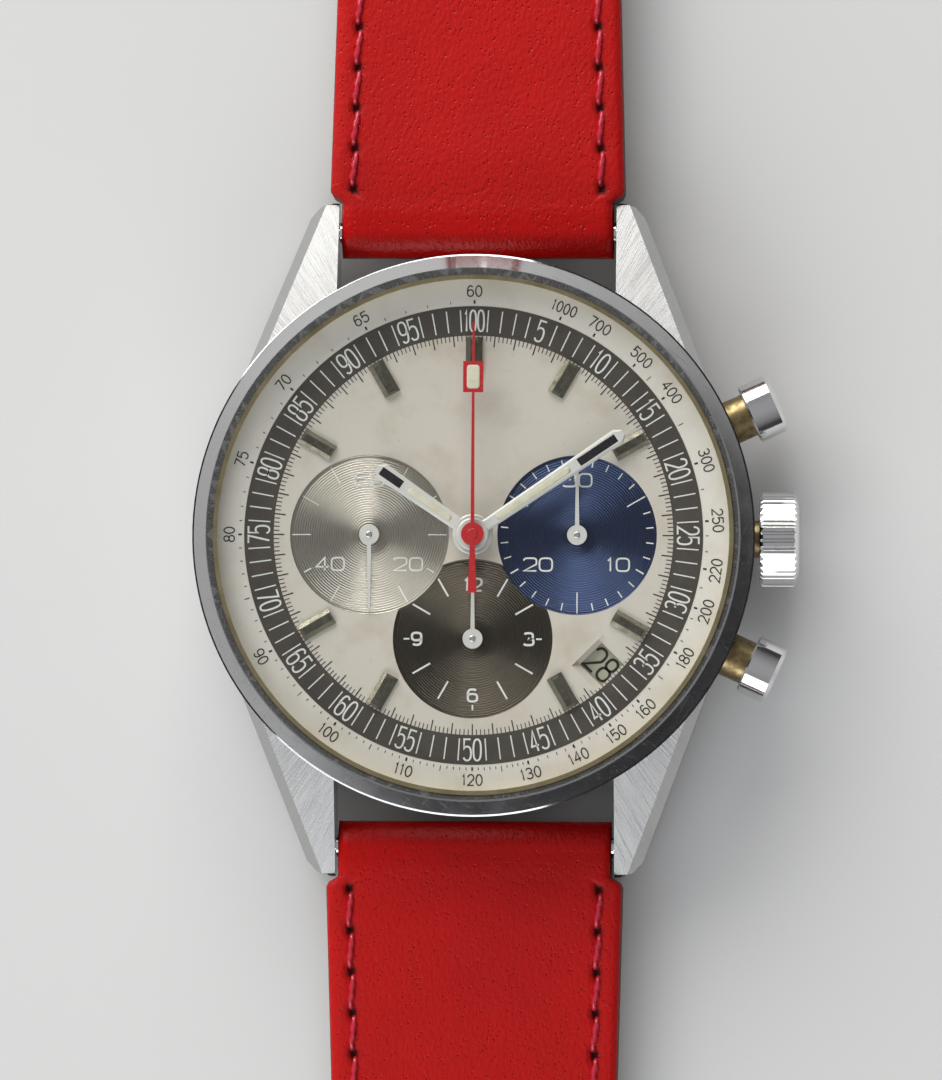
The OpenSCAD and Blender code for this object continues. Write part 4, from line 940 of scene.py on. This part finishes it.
# %% Lines of the side view
SEAM, PITCH, FIRST_HOLE = 1.6, 2.8, 2.9
LUG_Y = 21.0
ROLL_R, ROLL_Z = 1.75, 2.9
TAIL_END, POINT, POINT_POWER = 112, 14, 0.62
FULL_HALF = 9
FROM_EDGE = np.array([0, 0.05, 0.16, 0.34, 0.6, 0.95, 1.25, 1.45, 1.6, 1.75, 1.95, 2.25, 2.8])
INNER = np.array([5.2, 3.2, 1.6, 0.8, 0.0])


def eased(s, knots):
    """Straight runs between knots, rounded by averaging over a few millimetres."""
    knots = np.asarray(knots, float)
    around = np.linspace(-1.5, 1.5, 13)
    near = s[:, None] + around * np.clip(s / 4, 0, 1)[:, None]
    return np.interp(near, knots[:, 0], knots[:, 1]).mean(1)


def side_lines(s, top, under):
    """Top and under height: a circle round the spring bar up to its crown, then eased knots."""
    bar = np.sqrt(np.maximum(ROLL_R ** 2 - np.minimum(s, 0) ** 2, 0))
    return [np.where(s < 0, ROLL_Z + sign * bar, eased(s, knots))
            for sign, knots in ((1, top), (-1, under))]


BUCKLE_LINES = ([(0, 4.65), (1.4, 4.62), (2.6, 4.5), (4, 4.6), (10, 4.3), (20, 3.95), (32, 3.7),
                 (44, 3.25), (74, 3.25)],
                [(0, 1.15), (3, 1.17), (8, 0.95), (80, 0.95)])
TAIL_LINES = ([(0, 4.65), (1.4, 4.62), (2.6, 4.48), (4, 4.52), (8, 4.15), (16, 3.4), (28, 2.85),
               (44, 2.3), (113, 2.1)],
              [(0, 1.15), (4, 0.95), (9, 0.25), (15, 0.0), (113, 0.0)])


def strap_width(s, tail):
    """Half width: narrow between the lugs, full past them, then a taper and the tail's point."""
    half = np.interp(s, [-2, 2.1, 2.5, 44, 113], [9.3, 9.3, 10.1, FULL_HALF, FULL_HALF])
    if tail:
        left = np.clip((TAIL_END - s) / POINT, 0, 1)
        half = half * np.sqrt(1 - (1 - left) ** (1 / POINT_POWER))
    return half


# %% Sections of one half
def sections(s, tail, lines):
    """Grid with columns at set distances from the edges, over the top and back underneath."""
    half = strap_width(s, tail)[:, None]
    scale = np.minimum(1, half / FULL_HALF)
    edge, inner = FROM_EDGE * scale, INNER * scale
    x = np.concatenate([-(half - edge), -inner, inner[:, -2::-1], (half - edge)[:, ::-1]], 1)
    e = half - np.abs(x)
    high, low = [line[:, None] for line in side_lines(s, *lines)]
    bend = np.minimum(0.62, (high - low) * 0.42)
    share = np.maximum(0, 1 - e / np.maximum(bend * scale, 1e-6))
    fall = bend * (1 - np.sqrt(np.maximum(0, 1 - share ** 2)))
    along = s[:, None]
    sewn = smooth_step(along, 2.35, 2.75)
    from_seam = e - SEAM * scale
    hole = np.exp(-(((along - FIRST_HOLE + PITCH / 2) % PITCH - PITCH / 2) / 0.40) ** 2)
    ripple = np.sin(along * 0.9 + x * 0.35) * np.sin(x * 0.8 - along * 0.23)
    swell = 0.10 * (1 - (x / half) ** 2) + 0.014 * ripple
    sunk = sewn * np.exp(-(from_seam / 0.2) ** 2) * (0.08 + 0.42 * hole)
    over, below = high - fall - 0.06 + swell - sunk, low + fall * 0.8
    y = np.broadcast_to(along, x.shape)
    grid = np.concatenate([np.dstack([x, y, over]), np.dstack([x, y, below])[:, ::-1]], 1)
    # Painted shade: dark is 1 round each stitch hole along the seam, where the hole's shade falls
    dark = np.clip(1.5 * sewn * np.exp(-(from_seam / 0.30) ** 2) * hole, 0, 1)
    worn = np.broadcast_to(1 - smooth_step(along, 0.4, 2.6), dark.shape)
    unseen = np.zeros_like(dark)
    return grid, dict(hole=np.concatenate([dark, unseen], 1),
                      worn=np.concatenate([worn, unseen], 1))


def to_watch(grid, tail):
    """Length s becomes y beyond the spring bar; the tail is turned half round the dial."""
    sign = -1 if tail else 1
    return np.concatenate([sign * grid[..., :1], sign * (LUG_Y + grid[..., 1:2]), grid[..., 2:]],
                          -1)


COLUMNS = 2 * len(FROM_EDGE) + 2 * len(INNER) - 1
WIDE = 2 * COLUMNS
SKIN, EDGE, BACKING = range(3)


def skin_faces(rows):
    """Faces of a section grid, the material of each, and the faces that close both ends."""
    around = cells(rows, WIDE, close_columns=True)[:, ::-1]
    column = np.tile(np.arange(WIDE), rows - 1)
    kind = np.where(column < COLUMNS - 1, SKIN, BACKING)
    kind[np.isin(column, [0, COLUMNS - 2, COLUMNS - 1, COLUMNS, WIDE - 2, WIDE - 1])] = EDGE
    j = np.arange(COLUMNS - 1)
    first = np.stack([j, j + 1, WIDE - 2 - j, WIDE - 1 - j], 1)
    return around, kind, np.vstack([first, first[:, ::-1] + (rows - 1) * WIDE])


def strap_half(name, body, node, tail, points, faces, kinds, values):
    """One half of the strap; points that were added after the grid get 0 for its numbers."""
    values = {title: np.pad(g.ravel(), (0, len(points) - g.size)) for title, g in values.items()}
    return piece(name, to_watch(points, tail), faces, body, "red_leather", RED_LEATHER, EDGE_PAINT,
                 LINING, index=np.concatenate(kinds), replaces=[node], values=values)


# %% [markdown]
# The tail has seven holes for the buckle's tongue. A block of cells round each hole is taken
# out above and below, the rim of the block is joined to a circle, and a wall joins the two
# circles. The buckle half ends in two loops round the buckle's pin, with a slot for the
# tongue between them.

# %% Punch the holes
def punched(grid, faces, kind, s, centres, radius=0.9, lip=0.12, block=1.7):
    """Replaces blocks of cells by rims to a circle and a wall between the two circles."""
    row, column = np.divmod(np.arange(len(faces)), WIDE)
    keep = np.ones(len(faces), bool)
    left = len(FROM_EDGE) + 2
    right = left + 4
    flat = grid.reshape(-1, 3)
    points, extra, extra_kind, count = [flat], [], [], len(flat)
    above = (column >= left) & (column < right)
    under = (column >= WIDE - 1 - right) & (column < WIDE - 1 - left)
    for centre in centres:
        a, b = np.searchsorted(s, [centre - block, centre + block])
        keep &= ~((row >= a) & (row < b) & (above | under))
        i = np.concatenate([np.full(right - left, a), np.arange(a, b), np.full(right - left, b),
                            np.arange(b, a, -1)])
        j = np.concatenate([np.arange(left, right), np.full(b - a, right),
                            np.arange(right, left, -1), np.full(b - a, left)])
        loops, n = [], len(i)
        for upper in (True, False):
            rim = i * WIDE + (j if upper else WIDE - 1 - j)
            away = unit(flat[rim][:, :2] - (0, centre))
            level = flat[rim][:, 2].mean()
            for r, dz in ((radius + lip, 0.0), (radius, -lip if upper else lip)):
                points.append(np.column_stack([away * r + (0, centre), np.full(n, level + dz)]))
                loops.append(count + np.arange(n))
                count += n
            loops.append(rim)
        up_out, up_in, up_rim, down_out, down_in, down_rim = loops
        for p, q, k in ((up_rim, up_out, SKIN), (up_out, up_in, SKIN), (up_in, down_in, BACKING),
                        (down_in, down_out, BACKING), (down_out, down_rim, BACKING)):
            extra.append(np.stack([p, q, np.roll(q, -1), np.roll(p, -1)], 1))
            extra_kind.append(np.full(n, k))
    return (np.vstack(points), np.vstack([faces[keep]] + extra),
            np.concatenate([kind[keep]] + extra_kind))


# %% Tail half
ROW, START = 0.35, 0.3
roll = -ROLL_R * np.cos(np.radians(np.linspace(4, 90, 14)))
point = TAIL_END - POINT * (1 - (1 - np.linspace(1, 0.02, 40) ** 2) ** POINT_POWER)
s = np.concatenate([roll, np.arange(START, TAIL_END - POINT, ROW), point])
grid, values = sections(s, True, TAIL_LINES)
faces, kind, ends = skin_faces(len(s))
points, faces, kind = punched(grid, faces, kind, s, [86 - 7 * i for i in range(7)])
strap_half("strap_tail", "strap_tail", "strap_tail_half", True, points, [faces, ends],
           [kind, np.full(len(ends), EDGE)], values)

# %% Buckle half and its two loops
LOOP_START, LOOP_Y, LOOP_Z, LOOP_R = 71.3, 75, 2.1, 1.13
s = np.concatenate([roll, np.arange(START, 71.4, ROW), [71.5]])
grid, values = sections(s, False, BUCKLE_LINES)
faces, kind, ends = skin_faces(len(s))
t = np.radians(np.linspace(0, 180, 19))
bow_line = np.stack([LOOP_Y + LOOP_R * np.sin(t), LOOP_Z + LOOP_R * np.cos(t)], 1)
side = np.concatenate([[(LOOP_START, 3.19)], bow_line, [(LOOP_START, 0.97)]])
across = np.array([1.4, 1.5, 1.75, 4.0, 6.5, 8.6, 8.9, 9.0])
sunk = np.array([0.25, 0.08, 0, 0, 0, 0, 0.1, 0.3])
shell = side - sunk[:, None, None] * unit(side - (LOOP_Y - 1, LOOP_Z))
points, parts, kinds = [grid.reshape(-1, 3)], [faces, ends], [kind, np.full(len(ends), EDGE)]
for sign in (-1, 1):
    start = sum(map(len, points))
    x = np.broadcast_to(sign * across[:, None, None], shell.shape[:2] + (1,))
    points.append(np.concatenate([x, shell], 2).reshape(-1, 3))
    for f in tube(len(across), len(side)):
        parts.append(f[:, ::sign] + start)
        kinds.append(np.full(len(f), SKIN))
strap_half("strap_buckle", "strap_top", "strap_buckle_half", False, np.vstack(points), parts, kinds,
           values)

# %% [markdown]
# The seam is a row of short stitches of two-ply waxed thread. Every stitch rises from one
# hole, lies slightly aslant on the leather and goes down the next hole. Its section is an
# oval that turns along the stitch, which is what two twisted plies look like.

# %% Stitches
def stitches(name, count, tail, lines, body):
    """Tubes from hole to hole: a flattened arch, with an oval that turns 1.5 times along it."""
    rows, around = 13, 7
    t = np.linspace(0, 1, rows)[None, :, None]
    a = circle(around)[None, None, :]
    start = np.repeat(FIRST_HOLE + PITCH * np.arange(count), 2)[:, None, None]
    sign = np.tile([-1.0, 1.0], count)[:, None, None]
    s = start + PITCH * (0.06 + 0.88 * t)
    half = strap_width(s.ravel(), tail).reshape(s.shape)
    scale = np.minimum(1, half / FULL_HALF)
    ground = side_lines(s.ravel(), *lines)[0].reshape(s.shape) - 0.12
    arch = np.clip(4 * t * (1 - t), 0, 1) ** 0.4
    girth = 0.215 * (0.55 + 0.45 * arch)
    oval = girth * (1 + 0.32 * np.cos(2 * (a - 3 * np.pi * t)))
    x = sign * (half - SEAM * scale) + 0.16 * (2 * t - 1) * scale + oval * np.cos(a)
    z = ground - 0.26 + 0.36 * arch + oval * np.sin(a)
    points = np.stack(np.broadcast_arrays(x, s, z), -1)
    shift = (np.arange(2 * count) * rows * around)[:, None, None]
    faces = [(f[:, ::-1] + shift).reshape(-1, f.shape[1]) for f in tube(rows, around)]
    return piece(name, to_watch(points, tail), faces, body, "red_leather", THREAD)


stitches("buckle_stitches", 23, False, BUCKLE_LINES, "strap_top")
stitches("tail_stitches", 37, True, TAIL_LINES, "strap_tail")

# %% [markdown]
# Two leather loops keep the tail down. A flat section with rounded edges is carried round a
# rounded rectangle.

# %% Keepers
def keeper(name, node, body, wall=0.85, corner=1.1, edge=0.34):
    """Offsets a rounded rectangle outwards by each point of a rounded flat section."""
    low, high = node_box(node)
    half, mid = (high - low) / 2, (high + low) / 2
    a = np.radians(np.concatenate([q + np.linspace(0, 90, 9) for q in (0, 90, 180, 270)]))
    out = np.stack([np.cos(a), np.sin(a)], 1)
    quarter = np.repeat([(1, 1), (-1, 1), (-1, -1), (1, -1)], 9, axis=0)
    inner = mid[[0, 2]] + quarter * (half[[0, 2]] - wall - corner) + corner * out
    b = np.radians(np.arange(0, 360, 22.5) + 11.25)
    c, s = np.cos(b), np.sin(b)
    along = np.sign(c) * (half[1] - edge) + edge * c
    thick = wall / 2 + np.sign(s) * (wall / 2 - edge) + edge * s
    spot = inner[:, None, :] + thick[None, :, None] * out[:, None, :]
    grid = np.dstack([spot[..., 0], np.broadcast_to(mid[1] + along, spot.shape[:2]), spot[..., 1]])
    faces = cells(len(a), len(b), close_rows=True, close_columns=True)
    return piece(name, grid, [faces], body, "red_leather", RED_LEATHER, replaces=[node])


keeper("fixed_loop", "fixed_keeper", "strap_top")
keeper("free_loop", "free_keeper", "keeper")

# %% [markdown]
# ## Pusher springs
# Each pusher sits on a coil spring that shortens when the pusher goes in. Here the spring is
# built at its free length and rides on the case. A wire's circle carried round a helix is all
# it needs.

# %% Coils
def pusher_coil(name, node, angle, wire=0.1, radius=1.01, turns=6):
    """The wire's circle goes round the axis at a radius, and along it as the angle grows."""
    out = np.array([math.cos(angle), math.sin(angle), 0.0])
    over, rise = np.array([-out[1], out[0], 0.0]), np.array([0.0, 0.0, 1.0])
    mesh = NODES[node].data
    corners = np.empty(3 * len(mesh.vertices))
    mesh.vertices.foreach_get("co", corners)
    corners = corners.reshape(-1, 3) / MM
    start, end = (corners @ out).min(), (corners @ out).max()
    middle = rise * (corners[:, 2].min() + corners[:, 2].max()) / 2
    rows, around = turns * 24 + 1, 8
    t = np.linspace(0, 1, rows)[:, None, None]
    b = circle(around)[None, :, None]
    a = 2 * np.pi * turns * t
    reach = radius + wire * np.cos(b)
    along = start + wire + (end - start - 2 * wire) * t + wire * np.sin(b)
    points = middle + along * out + reach * (np.cos(a) * over + np.sin(a) * rise)
    coil = piece(name, points, tube(rows, around), "case", "polished_steel", POLISHED,
                 replaces=[node])
    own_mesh(coil)
    return coil


PUSHER_ANGLE = math.radians(24.5)
pusher_coil("start_coil", "start_pusher_spring", PUSHER_ANGLE)
pusher_coil("reset_coil", "reset_pusher_spring", -PUSHER_ANGLE)

# %% [markdown]
# ## Buckle
# The buckle is bent from steel wire of a nearly square section, hammered flatter at the
# front where the tongue rests. The tongue is a strip that is curled round the pin, lies
# over the frame and ends in a rounded tip. Both are one rounded section carried along a path.

# %% Rounded section along a path
def swept(path, side, up, half_side, half_up, square=0.55, n=20):
    """Superellipse section: path + side * a * cos^q + up * b * sin^q, with a and b along it."""
    c, s = [squared(v, square) for v in (np.cos(circle(n)), np.sin(circle(n)))]
    side, up = [np.broadcast_to(v, path.shape)[:, None, :] for v in (side, up)]
    points = (path[:, None, :] + side * (half_side[:, None] * c)[..., None]
              + up * (half_up[:, None] * s)[..., None])
    return points, tube(len(path), n)


PIN_Y, PIN_Z = 96.0, 2.1
ARM_HALF, BAR_HALF, CORNER = 0.85, 1.05, 1.6
low, high = node_box("buckle_frame")
arm_x, front = high[0] - ARM_HALF, high[1] - BAR_HALF
bend = np.radians(np.linspace(0, 90, 10))
arm_y = np.concatenate([low[1] + 0.9 * (1 - np.cos(np.radians([10, 30, 50, 70, 90]))),
                        np.linspace(low[1] + 1.4, front - CORNER, 6)])
corner = np.stack([arm_x - CORNER + CORNER * np.cos(bend),
                   front - CORNER + CORNER * np.sin(bend)], 1)
run = np.vstack([np.stack([np.full(len(arm_y), arm_x), arm_y], 1)[:-1], corner,
                 [(5.0, front), (2.2, front)]])
path = np.vstack([run, [(0, front)], run[::-1] * (-1, 1)])
step = unit(np.gradient(path, axis=0))
flat = np.zeros(len(path))
ease = np.ones(len(path))
ease[:5] = ease[-1:-6:-1] = np.sin(np.radians([18, 40, 60, 76, 90]))
half_side = np.where(np.abs(path[:, 0]) < arm_x - 0.4, BAR_HALF, ARM_HALF) * ease
points, faces = swept(np.column_stack([path, flat + (low[2] + high[2]) / 2]),
                      np.column_stack([step[:, 1], -step[:, 0], flat]), np.array([0, 0, 1.0]),
                      half_side, (high[2] - low[2]) / 2 * ease)
piece("buckle_bow", points, faces, "buckle", "polished_steel", POLISHED, replaces=["buckle_frame"])

# %% Tongue
CURL_R, TONGUE_HALF, TONGUE_T, TIP = 0.86, 0.95, 0.24, 1.6
end = node_box("buckle_tongue")[1][1]
curl = np.radians(np.linspace(300, 0, 20))
loop = np.stack([PIN_Y - CURL_R * np.sin(curl), PIN_Z + CURL_R * np.cos(curl)], 1)
y = np.linspace(PIN_Y + 1.1, end - 0.05, 18)
lift = np.interp(y, [PIN_Y, PIN_Y + 3, front - 0.8, end], [2.86, 3.42, 3.36, 3.34])
path = np.vstack([loop, np.stack([y, lift], 1)])
step = unit(np.gradient(path, axis=0))
flat = np.zeros(len(path))
tip = np.sqrt(np.clip((end - path[:, 0]) / TIP, 0.02, 1))
half_side = TONGUE_HALF * np.where(path[:, 0] > end - TIP, 0.45 + 0.55 * tip, 1)
points, faces = swept(np.column_stack([flat, path]), np.array([1.0, 0, 0]),
                      np.column_stack([flat, -step[:, 1], step[:, 0]]), half_side,
                      flat + TONGUE_T, 0.6, 16)
piece("buckle_prong", points, faces, "tongue", "polished_steel", POLISHED,
      replaces=["buckle_tongue"])

# %% [markdown]
# ## Finishes of the model's own pieces
# Every piece that is kept from the model gets its finish in its material slots.

# %% Dress the nodes
WEARS = {
    BEZEL_PAINTED_DARK: ["bezel"], BRUSHED: ["mid_case"], BACK: ["case_back"], CRYSTAL: ["crystal"],
    AGED_BRASS: ["tension_ring"], TUBE_BRASS: ["case_tubes"], MARKER_STEEL: ["hour_markers"],
    POLISHED: ["crown", "start_pusher", "reset_pusher", "spring_bars", "winding_stem",
               "winding_pinion", "escape_wheel", "pallet_fork", "barrel_arbor", "ratchet_wheel",
               "cannon_pinion", "buckle_pin"],
    BLUED: ["bridge_screws", "hairspring", "mainspring"],
    RUBBER: ["case_back_gasket", "crown_gasket"],
    BRASS: ["barrel", "reversing_wheel", "rotor", "center_wheel", "third_wheel", "fourth_wheel",
            "balance_wheel", "minute_wheel", "hour_wheel", "chrono_wheel",
            "chrono_intermediate_wheel", "minute_counter_wheel", "hour_counter_wheel"],
    GILT: ["movement_ring", "main_plate", "train_bridge", "balance_cock"],
    DIAL_PAINT: ["dial"], DATE_PAINT: ["date_disc"], RED_LACQUER: ["chrono_seconds_hand"],
    HAND_PAINT: ["running_seconds_hand", "minute_counter_hand", "hour_counter_hand"],
}
for material, names in WEARS.items():
    for name in names:
        for slot in NODES[name].material_slots:
            slot.material = material
dressed = {n for names in WEARS.values() for n in names}
print("dressed:", len(dressed), "replaced:", sorted(set(NODES) - dressed))
